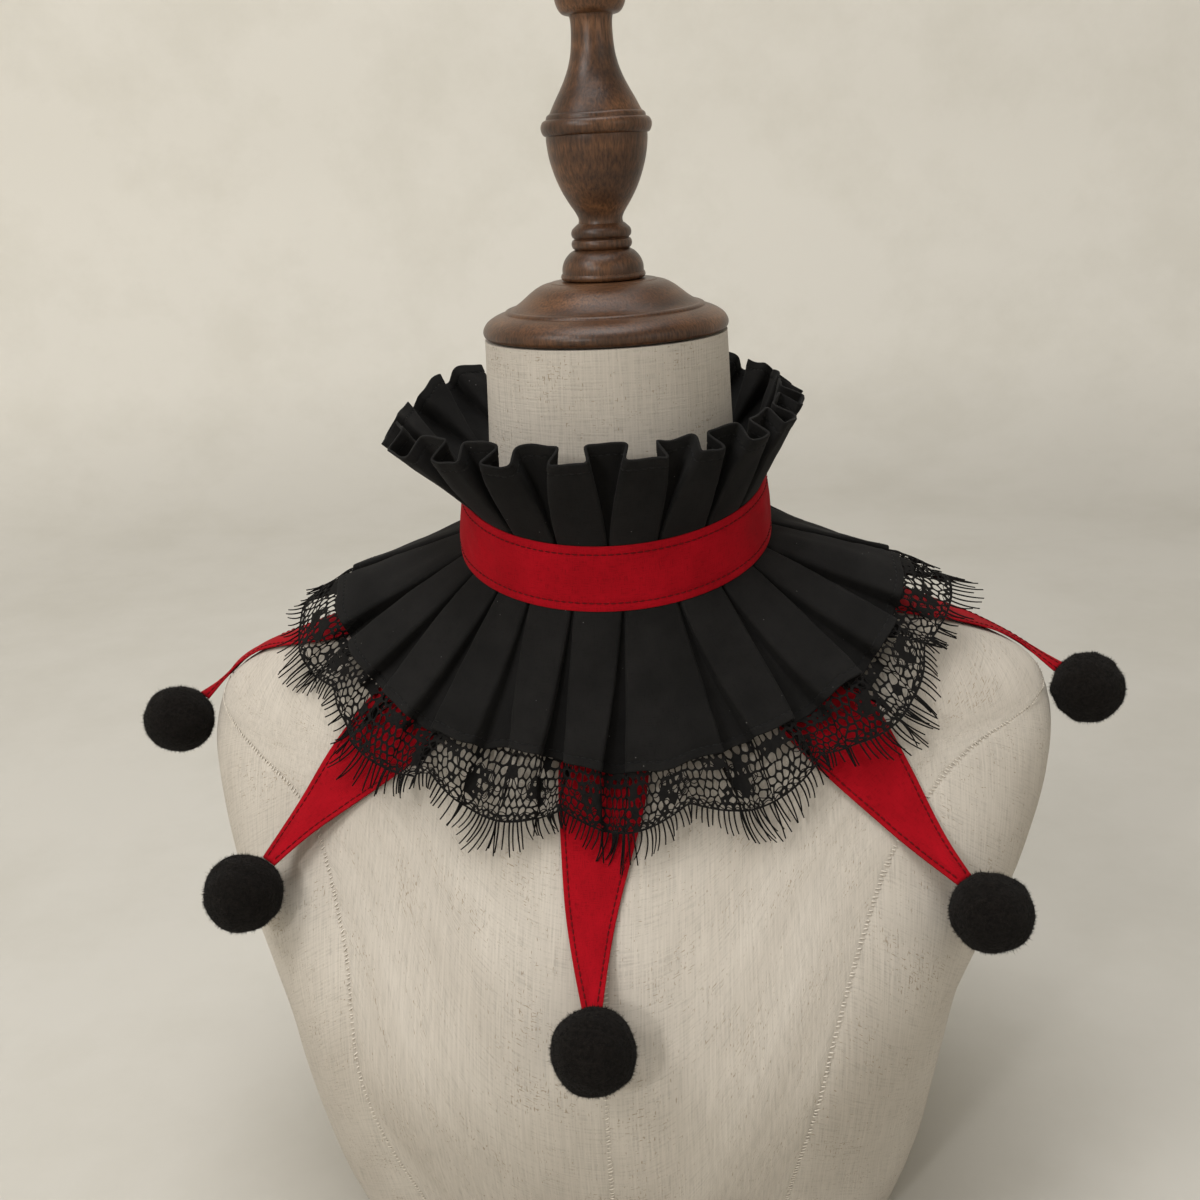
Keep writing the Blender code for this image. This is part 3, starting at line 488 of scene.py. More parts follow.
def place(azimuth, radius, height):
    """The point at an azimuth in degrees, a distance from the form's axis and a height."""
    angle = math.radians(azimuth)
    return (radius * math.sin(angle), -radius * math.cos(angle), height)


def smooth_row(rows, key):
    """The other columns of a table at a key of its first column, on a smooth curve through its rows."""
    index = 0
    while index < len(rows) - 2 and (key - rows[index + 1][0]) * (rows[-1][0] - rows[0][0]) > 0:
        index += 1
    start, end = rows[index], rows[index + 1]
    before, after = rows[max(index - 1, 0)], rows[min(index + 2, len(rows) - 1)]
    span = end[0] - start[0]
    share = min(max((key - start[0]) / span, 0.0), 1.0)
    cube, square = share ** 3, share ** 2
    values = []
    for column in range(1, len(start)):
        leave = (end[column] - before[column]) / (end[0] - before[0]) * span
        arrive = (after[column] - start[column]) / (after[0] - start[0]) * span
        values.append(
            (2 * cube - 3 * square + 1) * start[column] + (cube - 2 * square + share) * leave
            + (3 * square - 2 * cube) * end[column] + (cube - square) * arrive
        )
    return values


def turned_back(azimuth):
    """The same azimuth between -180 and 180 degrees."""
    return (azimuth + 180.0) % 360.0 - 180.0


def form_radius(azimuth, height):
    """Distance from the axis to the form's surface."""
    half_width, front, back, squareness, lean = smooth_row(FORM_SECTIONS, height)
    angle = math.radians(azimuth)
    depth = front if math.cos(angle) > 0 else back
    across = (abs(math.sin(angle)) / half_width) ** squareness
    along = (abs(math.cos(angle)) / depth) ** squareness
    radius = (across + along) ** (-1 / squareness) - lean * math.sin(angle)
    turned = turned_back(azimuth)
    crown = BUST_RISE * math.exp(-(((abs(turned) - BUST_AZIMUTH) / BUST_WIDTH) ** 2))
    valley = BUST_VALLEY * math.exp(-((turned / BUST_WIDTH) ** 2))
    return radius + (crown - valley) * math.exp(-(((height - BUST_HEIGHT) / BUST_SPREAD) ** 2))


def form_slope(azimuth, height):
    """How fast the form's radius grows with the height."""
    return (form_radius(azimuth, height + 1) - form_radius(azimuth, height - 1)) / 2


def form_gap(azimuth, radius, height):
    """A point's distance from the form, along the form's normal."""
    return (radius - form_radius(azimuth, height)) / math.hypot(1, form_slope(azimuth, height))


def off_form(azimuth, radius, height, gap, hanging=1.0, rounds=CLEAR_ROUNDS):
    """Move a point along the form's normal until it is a gap away, or at least a gap where it hangs free."""
    for _ in range(rounds):
        slope = form_slope(azimuth, height)
        scale = math.hypot(1, slope)
        move = gap - (radius - form_radius(azimuth, height)) / scale
        if move < 0:
            move *= 1 - hanging
        if move == 0:
            break
        radius += move / scale
        height -= slope * move / scale
    return radius, height


def clear_of_form(point, gap, hanging=1.0, rounds=CLEAR_ROUNDS):
    """The same move for a point given by x, y and height."""
    x, y, height = point
    azimuth = math.degrees(math.atan2(x, -y))
    return place(azimuth, *off_form(azimuth, math.hypot(x, y), height, gap, hanging, rounds))


def band_height(azimuth, radius, level):
    """Height of the tilted ring at a level (BAND_TOP or BAND_BOTTOM)."""
    return level - radius * math.cos(math.radians(azimuth)) * BAND_TILT


def upper_line(azimuth, level):
    """Radius, height and outward normal of the upper ruff's outer folds; level 0 is the seam, 1 the hem."""
    degrees, length = smooth_row(UPPER_SHAPE, turned_back(azimuth))
    lean = math.radians(degrees)
    radius = BAND_TOP_RADIUS - SEAM_INSET
    height = band_height(azimuth, radius, BAND_TOP) + SEAM_GAP + CLOTH_WALL / 2 * math.sin(lean)
    reach = length * level
    return (
        radius + reach * math.sin(lean), height + reach * math.cos(lean),
        math.cos(lean), -math.sin(lean),
    )


def lower_line(azimuth, level):
    """Radius, height and outward normal of the lower ruff's outer folds; level 0 is the seam, 1 the hem."""
    degrees, length = smooth_row(LOWER_SHAPE, turned_back(azimuth))
    slope = math.radians(degrees)
    radius = BAND_BOTTOM_RADIUS - SEAM_INSET
    height = band_height(azimuth, radius, BAND_BOTTOM) - SEAM_GAP - CLOTH_WALL / 2 * math.cos(slope)
    reach = length * level
    return (
        radius + reach * math.cos(slope), height - reach * math.sin(slope),
        math.sin(slope), math.cos(slope),
    )


def fold_path(pleats, level, depth, return_width, seam_radius, opening=1.0):
    """The fold corners round the collar at a level, as azimuths and insets: four for each pleat.

    With an opening above 1 the recesses stay narrow near the band and open towards the hem.
    """
    slit = math.degrees(SLIT / seam_radius)
    pleat_depth = blend(SEAM_DEPTH, depth, level)
    level = max(level, 0.0)
    opened_share = level ** opening
    path = []
    seam_before = -BACK_OPENING
    hem_before = -BACK_OPENING
    for index, (hem_from, hem_to, seam_after) in enumerate(pleats):
        last = index == len(pleats) - 1
        hem_after = BACK_OPENING if last else (hem_to + pleats[index + 1][0]) / 2
        middle = (hem_from + hem_to) / 2
        inner_from = hem_from if index == 0 else hem_before + return_width
        inner_to = hem_to if last else hem_after - return_width
        inner_from = min(inner_from, middle - HALF_PLEAT_LEAST)
        inner_to = max(inner_to, middle + HALF_PLEAT_LEAST)
        half_before = blend(slit / 2, hem_from - hem_before, opened_share)
        half_after = blend(slit / 2, hem_after - hem_to, opened_share)
        path += [
            (blend(seam_before + slit / 2, inner_from, level), -pleat_depth),
            (blend(seam_before, hem_before, level) + half_before, 0.0),
            (blend(seam_after, hem_after, level) - half_after, 0.0),
            (blend(seam_after - slit / 2, inner_to, level), -pleat_depth),
        ]
        seam_before, hem_before = seam_after, hem_after
    return path


def on_line(line, azimuth, level, inset):
    """The point at a level of a ruff's line, moved out by an inset: azimuth, radius and height."""
    radius, height, out, up = line(azimuth, level)
    return (azimuth, radius + out * inset, height + up * inset)


def clearance(level):
    """How far the lower ruff's inner folds stay off the form at a level."""
    return blend(SEAM_CLEARANCE, LOWER_CLEARANCE, min(level / CLEARANCE_LEVEL, 1.0))


def shallower(path, outer_fold, gap, least=LEAST_DEPTH):
    """The same path with its inner folds no deeper than the room between the outer folds and the form."""
    fitted = []
    for azimuth, inset in path:
        if inset < 0:
            room = form_gap(azimuth, *outer_fold(azimuth)) - gap - CLOTH_WALL
            inset = -min(-inset, max(room, least))
        fitted.append((azimuth, inset))
    return fitted


def opened(path, kinds):
    """The lace's folds at its edge: shallower, with their inner corners spread outside the outer ones."""
    spread = []
    for index, (azimuth, inset) in enumerate(path):
        if kinds[index] == "inner":
            if "corner" in kinds[index + 1:index + 2]:
                azimuth = path[index + 1][0] - LACE_OPENING
            elif "corner" in kinds[max(index - 1, 0):index]:
                azimuth = path[index - 1][0] + LACE_OPENING
        spread.append((azimuth, inset * LACE_EDGE_DEPTH))
    return spread


def lace_point(azimuth, inset, distance):
    """A point of the lace: beyond the ruff's hem, in a steeper direction, or sewn on under the ruff."""
    if distance < 0:
        length = smooth_row(LOWER_SHAPE, turned_back(azimuth))[1]
        return on_line(lower_line, azimuth, 1 + distance / length, inset - LACE_UNDER)
    under = LACE_UNDER * max(0.0, 1 - distance / LACE_FADE)
    _, radius, height = on_line(lower_line, azimuth, 1.0, inset - under)
    slope = math.radians(smooth_row(LOWER_SHAPE, turned_back(azimuth))[0])
    fall = slope + LACE_STEEPER * math.cos(slope)
    reach = LACE_GAP + distance
    return azimuth, radius + reach * math.cos(fall), height - reach * math.sin(fall)


def scallop(azimuth):
    """1 at the tip of a scallop, 0 at a notch."""
    return abs(math.cos(math.pi * (azimuth - SCALLOP_MIDDLE) / SCALLOP_PERIOD))


def lace_depth(azimuth):
    """How far the lace hangs below the ruff's hem: round scallops between sharp notches."""
    return LACE_NOTCH + LACE_SCALLOP * scallop(azimuth)


def lace_edge(azimuth):
    """Radius and height of the lace's scalloped edge."""
    return lace_point(azimuth, 0.0, lace_depth(azimuth))[1:]


# ---------------------------------------------------------------- materials


def node(tree, kind, links=None, **settings):
    """A shader node with its settings, and its inputs linked or set by name or index."""
    made = tree.nodes.new("ShaderNode" + kind)
    for key, value in settings.items():
        setattr(made, key, value)
    for key, value in (links or {}).items():
        if isinstance(value, bpy.types.NodeSocket):
            tree.links.new(value, made.inputs[key])
        else:
            made.inputs[key].default_value = value
    return made


def new_material(name, roughness, specular=0.5, sheen=0.0, sheen_roughness=0.5):
    material = bpy.data.materials.new(name)
    material.use_nodes = True
    shader = material.node_tree.nodes["Principled BSDF"]
    shader.inputs["Roughness"].default_value = roughness
    shader.inputs["Specular IOR Level"].default_value = specular
    shader.inputs["Sheen Weight"].default_value = sheen
    shader.inputs["Sheen Roughness"].default_value = sheen_roughness
    return material, material.node_tree, shader


def maths(tree, operation, first, second=0.5):
    return node(tree, "Math", {0: first, 1: second}, operation=operation).outputs[0]


def noise(tree, source, scale, detail=2.0, roughness=0.5, distortion=0.0):
    """Noise on the UV map or the object's own coordinates, stretched by three factors a metre."""
    return node(tree, "TexNoise", {
        "Vector": scaled_map(tree, source, scale), "Scale": 1.0, "Detail": detail,
        "Roughness": roughness, "Distortion": distortion,
    }).outputs["Fac"]


def scaled_map(tree, source, scale):
    coordinates = node(tree, "TexCoord").outputs[source]
    return node(tree, "Mapping", {"Vector": coordinates, "Scale": scale}).outputs["Vector"]


def ramp(tree, value, stops):
    """Colours or grey values between stops of a value."""
    made = node(tree, "ValToRGB", {"Fac": value})
    elements = made.color_ramp.elements
    while len(elements) < len(stops):
        elements.new(0.5)
    for element, (position, colour) in zip(elements, stops):
        element.position = position
        element.color = (*colour, 1.0) if hasattr(colour, "__len__") else (colour, colour, colour, 1.0)
    return made.outputs["Color"]


def blended(tree, factor, first, second, kind="MIX"):
    made = node(tree, "Mix", data_type="RGBA", blend_type=kind)
    for key, value in ((0, factor), (6, first), (7, second)):
        if isinstance(value, bpy.types.NodeSocket):
            tree.links.new(value, made.inputs[key])
        else:
            made.inputs[key].default_value = value if key == 0 else (*value, 1.0)
    return made.outputs[2]


def shaded(tree, colour, value, stops):
    """A colour multiplied by a ramp of grey values."""
    return blended(tree, 1.0, colour, ramp(tree, value, stops), "MULTIPLY")


def finished(made, colour, height=None, strength=0.0, depth=0.0):
    """The material with its colour, and with a bump of a strength and a depth in metres."""
    material, tree, shader = made
    tree.links.new(colour, shader.inputs["Base Color"])
    if height is not None:
        bump = node(tree, "Bump", {"Height": height, "Strength": strength, "Distance": depth})
        tree.links.new(bump.outputs["Normal"], shader.inputs["Normal"])
    return material


def weave_height(tree, threads, length):
    """Uneven threads both ways, from two stretched noises on the UV map."""
    warp = noise(tree, "UV", (threads, length, 1.0))
    weft = noise(tree, "UV", (length, threads, 1.0))
    return maths(tree, "ADD", warp, weft)


def linen_material():
    made = new_material("linen_cloth", 0.90, 0.12, 0.03)
    tree = made[1]
    height = weave_height(tree, 1300.0, 75.0)
    blotches = noise(tree, "UV", (16.0, 16.0, 1.0), detail=4.0)
    yarns = noise(tree, "UV", (1250.0, 30.0, 1.0), detail=1.0)
    cloth = ramp(tree, blotches, ((0.35, (0.445, 0.405, 0.352)), (0.65, (0.505, 0.465, 0.410))))
    cloth = shaded(tree, cloth, height, ((0.70, 0.89), (1.30, 1.08)))
    cloth = shaded(tree, cloth, yarns, ((0.30, 0.93), (0.70, 1.05)))
    for scale in ((1500.0, 330.0, 1.0), (350.0, 1600.0, 1.0)):
        slubs = noise(tree, "UV", scale, detail=1.0)
        patches = noise(tree, "UV", (45.0, 45.0, 1.0))
        joint = maths(tree, "ADD", slubs, maths(tree, "MULTIPLY", patches, 0.35))
        cloth = blended(tree, ramp(tree, joint, ((0.878, 0.0), (0.905, 0.75))), cloth, (0.27, 0.215, 0.155))
    return finished(made, cloth, height, 0.35, 0.0004)


def cotton_material(name, dark, light, sheen, specks):
    made = new_material(name, 0.86, 0.10, sheen, 0.45)
    tree = made[1]
    height = weave_height(tree, 2600.0, 260.0)
    tone = noise(tree, "UV", (45.0, 45.0, 1.0), detail=4.0)
    colour = ramp(tree, tone, ((0.35, dark), (0.68, light)))
    colour = shaded(tree, colour, height, ((0.70, 0.80), (1.30, 1.18)))
    if specks:
        spots = scaled_map(tree, "UV", (230.0, 230.0, 1.0))
        cells = node(tree, "TexVoronoi", {"Vector": spots, "Scale": 1.0})
        near = ramp(tree, cells.outputs["Distance"], ((0.035, 1.0), (0.06, 0.0)))
        mask = shaded(tree, near, cells.outputs["Color"], ((0.60, 0.0), (0.66, 1.0)))
        colour = blended(tree, mask, colour, (0.13, 0.125, 0.12))
    return finished(made, colour, height, 0.3, 0.0002)


def thread_material(name, dark, light, roughness):
    made = new_material(name, roughness, 0.15)
    tone = noise(made[1], "Object", (900.0, 900.0, 900.0))
    return finished(made, ramp(made[1], tone, ((0.35, dark), (0.65, light))), tone, 0.3, 0.0002)


def pile_material():
    made = new_material("pompom_pile", 1.0, 0.05, 0.03, 0.6)
    tufts = noise(made[1], "Object", (700.0, 700.0, 700.0), detail=4.0, roughness=0.7)
    colour = ramp(made[1], tufts, ((0.35, (0.0035, 0.0030, 0.0026)), (0.70, (0.0125, 0.0105, 0.0090))))
    return finished(made, colour, tufts, 0.8, 0.0012)


def wood_material():
    made = new_material("turned_wood", 0.36, 0.42)
    tree = made[1]
    swirls = noise(tree, "Object", (15.0, 15.0, 24.0), detail=3.0, distortion=1.6)
    rings = scaled_map(tree, "Object", (9.0, 9.0, 42.0))
    settings = {"Vector": rings, "Scale": 1.0, "Distortion": 5.5, "Detail": 3.0}
    bands = node(tree, "TexWave", settings, bands_direction="Z").outputs["Fac"]
    figure = maths(tree, "ADD", maths(tree, "MULTIPLY", bands, 0.10), maths(tree, "MULTIPLY", swirls, 1.04))
    colour = ramp(
        tree, figure,
        ((0.34, (0.037, 0.0160, 0.0072)), (0.55, (0.077, 0.0330, 0.0138)), (0.80, (0.150, 0.068, 0.029))),
    )
    pores = noise(tree, "Object", (1050.0, 1050.0, 190.0), detail=3.0, roughness=0.65)
    colour = shaded(tree, colour, pores, ((0.36, 0.46), (0.56, 1.10), (0.72, 1.50)))
    return finished(made, colour, pores, 0.35, 0.0003)


def wall_material():
    """A blotchy plaster wall, with painted shade: darker at its foot and towards +X, away from the room's
    window.
    """
    made = new_material("pale_wall", 0.95, 0.1)
    tree = made[1]
    blotches = noise(tree, "Object", (5.0, 5.0, 5.0), detail=7.0, roughness=0.66)
    colour = ramp(tree, blotches, ((0.36, (0.785, 0.758, 0.690)), (0.56, (0.832, 0.805, 0.742))))
    spot = node(tree, "SeparateXYZ", {"Vector": node(tree, "TexCoord").outputs["Object"]})
    # painted shade: the floor and the foot of the wall are darker
    rise = node(tree, "MapRange", {"Value": spot.outputs["Z"], 1: 0.0, 2: 0.5}).outputs[0]
    colour = shaded(tree, colour, rise, ((0.0, 0.75), (0.32, 0.935), (0.8, 1.0)))
    # painted shade: the wall darkens towards +X, away from the window light
    painted_side_shade = node(tree, "MapRange", {"Value": spot.outputs["X"], 1: -1.2, 2: 1.2}).outputs[0]
    return finished(made, shaded(tree, colour, painted_side_shade, ((0.0, 1.0), (1.0, 0.80))))


RED_COTTON = ((0.235, 0.0012, 0.0055), (0.30, 0.0020, 0.0078))
BLACK_COTTON = ((0.0062, 0.0060, 0.0058), (0.0105, 0.0100, 0.0098))
LACE_THREAD = ((0.0028, 0.0025, 0.0024), (0.0065, 0.0058, 0.0054))
RED_THREAD = ((0.085, 0.0015, 0.003), (0.125, 0.003, 0.005))
LINEN_THREAD = ((0.58, 0.535, 0.465), (0.74, 0.69, 0.61))
BLACK_THREAD = ((0.0060, 0.0060, 0.0062), (0.012, 0.012, 0.012))
LOOKS = {
    "linen": linen_material(),
    "wood": wood_material(),
    "red_cotton": cotton_material("red_cotton_cloth", *RED_COTTON, 0.01, False),
    "black_cotton": cotton_material("black_cotton_cloth", *BLACK_COTTON, 0.02, True),
    "black_lace": thread_material("lace_thread", *LACE_THREAD, 0.85),
    "black_pompom": pile_material(),
    "red_thread": thread_material("red_thread", *RED_THREAD, 0.7),
    "linen_thread": thread_material("linen_thread", *LINEN_THREAD, 0.7),
    "black_thread": thread_material("black_thread", *BLACK_THREAD, 0.6),
}


# ---------------------------------------------------------------- making pieces


def add_piece(name, points, faces, look, replaces=(), uvs=None, sharp=180.0):
    """A piece from points in millimetres, riding on the collar's one body."""
    mesh = bpy.data.meshes.new(name)
    mesh.from_pydata([(x * MM, y * MM, z * MM) for x, y, z in points], [], faces)
    if uvs is not None:
        layer = mesh.uv_layers.new(name="UVMap")
        corners = np.empty(len(mesh.loops), dtype=np.int32)
        mesh.loops.foreach_get("vertex_index", corners)
        layer.data.foreach_set("uv", (np.asarray(uvs)[corners] * MM).ravel())
    mesh.shade_smooth()
    if sharp < 180.0:
        mesh.set_sharp_from_angle(angle=math.radians(sharp))
    mesh.materials.append(LOOKS[look])
    piece = bpy.data.objects.new(name, mesh)
    bpy.context.scene.collection.objects.link(piece)
    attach(piece, "root")
    if replaces:
        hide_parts(*replaces)
    return piece


def grid_normals(surface):
    """Unit normals of a grid of points (rows, columns, 3)."""
    down = np.gradient(surface, axis=0)
    across = np.gradient(surface, axis=1)
    normals = np.cross(down, across)
    return normals / np.maximum(np.linalg.norm(normals, axis=2, keepdims=True), 1e-9)


def grid_lengths(surface):
    """UVs of a grid from its mean distances along the rows and down the columns."""
    across = np.linalg.norm(np.diff(surface, axis=1), axis=2).mean(axis=0)
    down = np.linalg.norm(np.diff(surface, axis=0), axis=2).mean(axis=1)
    u = np.concatenate([[0.0], np.cumsum(across)])
    v = np.concatenate([[0.0], np.cumsum(down)])
    return np.stack(np.meshgrid(u, v), axis=-1).reshape(-1, 2)


def true_lengths(surface):
    """UVs of a grid from each point's distance from the middle of its row and from the top of its column."""
    across = np.linalg.norm(np.diff(surface, axis=1), axis=2).cumsum(axis=1)
    across = np.pad(across, ((0, 0), (1, 0)))
    across = across - across[:, [surface.shape[1] // 2]]
    down = np.linalg.norm(np.diff(surface, axis=0), axis=2).cumsum(axis=0)
    return np.stack([across, np.pad(down, ((1, 0), (0, 0)))], axis=-1).reshape(-1, 2)


def add_shell(name, surface, thickness, look, replaces=()):
    """A closed cloth wall round a grid of middle points, with a thickness at each of them."""
    rows, columns, _ = surface.shape
    normals = grid_normals(surface)
    half = np.broadcast_to(thickness, (rows, columns))[..., None] / 2
    outer, inner = surface + normals * half, surface - normals * half
    points = np.concatenate([outer.reshape(-1, 3), inner.reshape(-1, 3)])
    uvs = grid_lengths(surface)
    under = rows * columns
    faces = []
    for row in range(rows - 1):
        for column in range(columns - 1):
            a = row * columns + column
            b, c, d = a + 1, a + columns + 1, a + columns
            faces.append((a, d, c, b))
            faces.append((under + a, under + b, under + c, under + d))
    last = under - columns
    for column in range(columns - 1):
        for first, second in ((column, column + 1), (last + column + 1, last + column)):
            faces.append((first, second, under + second, under + first))
    for row in range(rows - 1):
        left, right = row * columns, row * columns + columns - 1
        for first, second in ((left + columns, left), (right, right + columns)):
            faces.append((first, second, under + second, under + first))
    piece = add_piece(name, points, faces, look, replaces, np.concatenate([uvs, uvs]))
    return piece, normals


def waves(across, down, seed, sizes):
    """Soft uneven relief: a few long waves in random directions for each (length, height)."""
    dice = random.Random(seed)
    total = np.zeros(np.broadcast(across, down).shape)
    for length, height in sizes:
        for _ in range(4):
            angle = dice.uniform(0, math.pi)
            phase = dice.uniform(0, 2 * math.pi)
            run = (across * math.cos(angle) + down * math.sin(angle)) * 2 * math.pi / length
            total = total + height / 2 * np.sin(run + phase)
    return total


def soft_ridge(distance, width):
    """1 in the middle of a ridge or groove, falling softly to 0 beside it."""
    return np.exp(-(distance / width) ** 2)


def reached_along(path):
    """The distance along a line of points to each of them."""
    steps = np.linalg.norm(np.diff(path, axis=0), axis=1)
    return np.concatenate([[0.0], np.cumsum(steps)])


def value_at(reached, values, distance):
    """The value at a distance along a line of points that each have one."""
    return np.array([np.interp(distance, reached, values[:, axis]) for axis in range(values.shape[1])])


def normed(vector):
    return vector / max(np.linalg.norm(vector), 1e-9)


def tube_faces(rings, turns):
    """Faces round a closed tube of some rings, then one face at each end."""
    faces = []
    for ring in range(rings - 1):
        low, high = turns * ring, turns * ring + turns
        for turn in range(turns):
            following = (turn + 1) % turns
            faces.append((low + turn, low + following, high + following, high + turn))
    faces.append(tuple(reversed(range(turns))))
    faces.append(tuple(turns * (rings - 1) + turn for turn in range(turns)))
    return faces


def tube(centres, sides, normals, radii, turns):
    """Points and faces of a thin tube along some centres."""
    points = []
    for centre, side, normal, radius in zip(centres, sides, normals, radii):
        for turn in range(turns):
            angle = 2 * math.pi * turn / turns
            points.append(centre + (side * math.cos(angle) + normal * math.sin(angle)) * radius)
    return points, tube_faces(len(centres), turns)


def stitch_line(path, normals, rise, pitch=STITCH_PITCH, length=STITCH_LENGTH):
    """Short thread stitches along a line of points, as (points, faces) pairs."""
    reached = reached_along(path)
    stitches = []
    start = pitch / 2
    while start + length < reached[-1]:
        centres, sides, ups, radii = [], [], [], []
        for share, size in STITCH_RINGS:
            along = start + length * share
            normal = value_at(reached, normals, along)
            ahead = value_at(reached, path, along + 0.2) - value_at(reached, path, along - 0.2)
            above = rise - (STITCH_DIP if size < 1 else 0.0)
            centres.append(value_at(reached, path, along) + normal * above)
            sides.append(normed(np.cross(normed(ahead), normal)))
            ups.append(normal)
            radii.append(STITCH_RADIUS * size)
        stitches.append(tube(centres, sides, ups, radii, STITCH_SIDES))
        start += pitch
    return stitches


def add_joined(name, parts, look, replaces=()):
    """One piece from many (points, faces) pairs."""
    points, faces = [], []
    for some_points, some_faces in parts:
        base = len(points)
        points += [tuple(point) for point in some_points]
        faces += [tuple(base + corner for corner in face) for face in some_faces]
    return add_piece(name, points, faces, look, replaces)


# ---------------------------------------------------------------- dress form and wood


def seam_azimuth(rows, height):
    return smooth_row(rows, min(max(height, rows[-1][0]), rows[0][0]))[0]


def seam_relief(azimuth, radius, height, seams, phases):
    """Relief of the cover beside its seams: a groove, a swell on each side of it, and puckers across it."""
    wide, tall, rise = SEAM_PUCKER
    wander_length, wander = SEAM_WANDER
    relief = 0.0
    for seam, phase in zip(seams, phases):
        distance = math.radians(azimuth - seam) * radius
        if abs(distance) > SEAM_REACH:
            continue
        turn = height * 2 * math.pi / tall + wander * math.sin(height / wander_length + phase)
        side = SEAM_PUCKER_SIDES[1 if distance > 0 else 0]
        relief -= SEAM_GROOVE[1] * math.exp(-(distance / SEAM_GROOVE[0]) ** 2)
        relief += SEAM_SWELL[1] * math.exp(-((abs(distance) - SEAM_SWELL[0]) / SEAM_SWELL[0]) ** 2)
        relief += rise * side * math.sin(turn) * math.exp(-(distance / wide) ** 2)
    return relief


def make_form():
    """The linen form: a fine grid whose columns follow its seams, with grooves and puckers along them."""
    heights = np.arange(NECK_TOP, -0.5 * FORM_STEP, -FORM_STEP)
    heights[-1] = 0.0
    spread = (1 - np.cos(np.linspace(0, math.pi, FORM_PANEL_COLUMNS + 1))) / 2
    dice = random.Random(FORM_SEED)
    phases = [dice.uniform(0, 6) for _ in range(9)]
    surface = []
    for height in heights:
        front_left = seam_azimuth(FRONT_SEAM_LEFT, height)
        front_right = seam_azimuth(FRONT_SEAM_RIGHT, height)
        seams = (-180.0, -BACK_SEAM, -SIDE_SEAM, front_left, 0.0, front_right, SIDE_SEAM, BACK_SEAM, 180.0)
        shown = min(max((SEAM_TOP - height) / SEAM_FADE, 0.0), 1.0)
        row = []
        for panel in range(len(seams) - 1):
            for share in spread if panel == 0 else spread[1:]:
                azimuth = blend(seams[panel], seams[panel + 1], share)
                radius = form_radius(azimuth, height)
                relief = seam_relief(azimuth, radius, height, seams, phases)
                row.append(place(azimuth, radius + relief * shown, height))
        surface.append(row)
    surface = np.array(surface)
    rows, columns, _ = surface.shape
    points = surface.reshape(-1, 3).tolist()
    faces = []
    for row in range(rows - 1):
        for column in range(columns - 1):
            a = row * columns + column
            faces.append((a, a + columns, a + columns + 1, a + 1))
    for end, height in ((0, NECK_TOP), (rows - 1, 0.0)):
        centre = len(points)
        points.append((0.0, 0.0, height))
        for column in range(columns - 1):
            a = end * columns + column
            faces.append((a, a + 1, centre) if end == 0 else (a + 1, a, centre))
    uvs = np.concatenate([true_lengths(surface), [[0.0, NECK_TOP], [0.0, 0.0]]])
    make_seam_stitches(surface[heights < SEAM_TOP - SEAM_FADE])
    add_piece("linen_form", points, faces, "linen", ("form_torso",), uvs, FORM_SHARP)


def make_seam_stitches(surface):
    """Short pale stitches across the form's three front seams."""
    normals = grid_normals(surface)
    dice = random.Random(SEAM_STITCH_SEED)
    stitches = []
    for seam in STITCHED_SEAMS:
        column = seam * FORM_PANEL_COLUMNS
        path, out = surface[:, column], normals[:, column]
        reached = reached_along(path)
        for distance in np.arange(SEAM_STITCH_PITCH, reached[-1] - SEAM_STITCH_PITCH, SEAM_STITCH_PITCH):
            distance += dice.gauss(0, SEAM_STITCH_STRAY[0] * SEAM_STITCH_PITCH)
            centre = value_at(reached, path, distance)
            normal = value_at(reached, out, distance)
            ahead = normed(value_at(reached, path, distance + 1.0) - centre)
            side = np.cross(ahead, normal) + ahead * (SEAM_STITCH_SLANT + dice.gauss(0, SEAM_STITCH_STRAY[1]))
            half = side * SEAM_STITCH_LENGTH / 2 * dice.uniform(*SEAM_STITCH_VARIES)
            ends = np.array([centre - half, centre, centre + half])
            length = 2 * np.linalg.norm(half) - 0.2
            stitches += stitch_line(ends, np.array([normal] * 3), SEAM_STITCH_RISE, 0.3, length)
    add_joined("linen_form_stitches", stitches, "linen_thread")


def smooth_run(run):
    """A smooth chain of points through a run of a turned profile."""
    points = []
    for index in range(len(run) - 1):
        before, start = run[max(index - 1, 0)], run[index]
        end, after = run[index + 1], run[min(index + 2, len(run) - 1)]
        for step in range(RUN_STEPS):
            share = step / RUN_STEPS
            points.append(tuple(
                0.5 * (
                    2 * b + (c - a) * share + (2 * a - 5 * b + 4 * c - d) * share ** 2
                    + (3 * b - a - 3 * c + d) * share ** 3
                )
                for a, b, c, d in zip(before, start, end, after)
            ))
    points.append(run[-1])
    return points


def make_turned(name, runs, replaces):
    """A turned piece of wood whose profile is smooth within each run."""
    profile = []
    for run in runs:
        for radius, height in smooth_run(run):
            if not profile or math.dist(profile[-1], (radius, height)) > TURNED_LEAST_STEP:
                profile.append((max(radius, 0.0), height))
    points = []
    for radius, height in profile:
        for side in range(TURNED_SIDES):
            azimuth = 360.0 * side / TURNED_SIDES
            points.append(place(azimuth, max(radius, TURNED_LEAST_RADIUS), NECK_TOP + height))
    faces = tube_faces(len(profile), TURNED_SIDES)
    add_piece(name, points, faces, "wood", replaces, None, TURNED_SHARP)


# ---------------------------------------------------------------- band and ruffs


def edge_steps(stitch, beside):
    """Distances in from an edge: close together where it rolls and beside its stitched line."""
    return (*EDGE_STEPS, stitch - beside, stitch, stitch + beside)


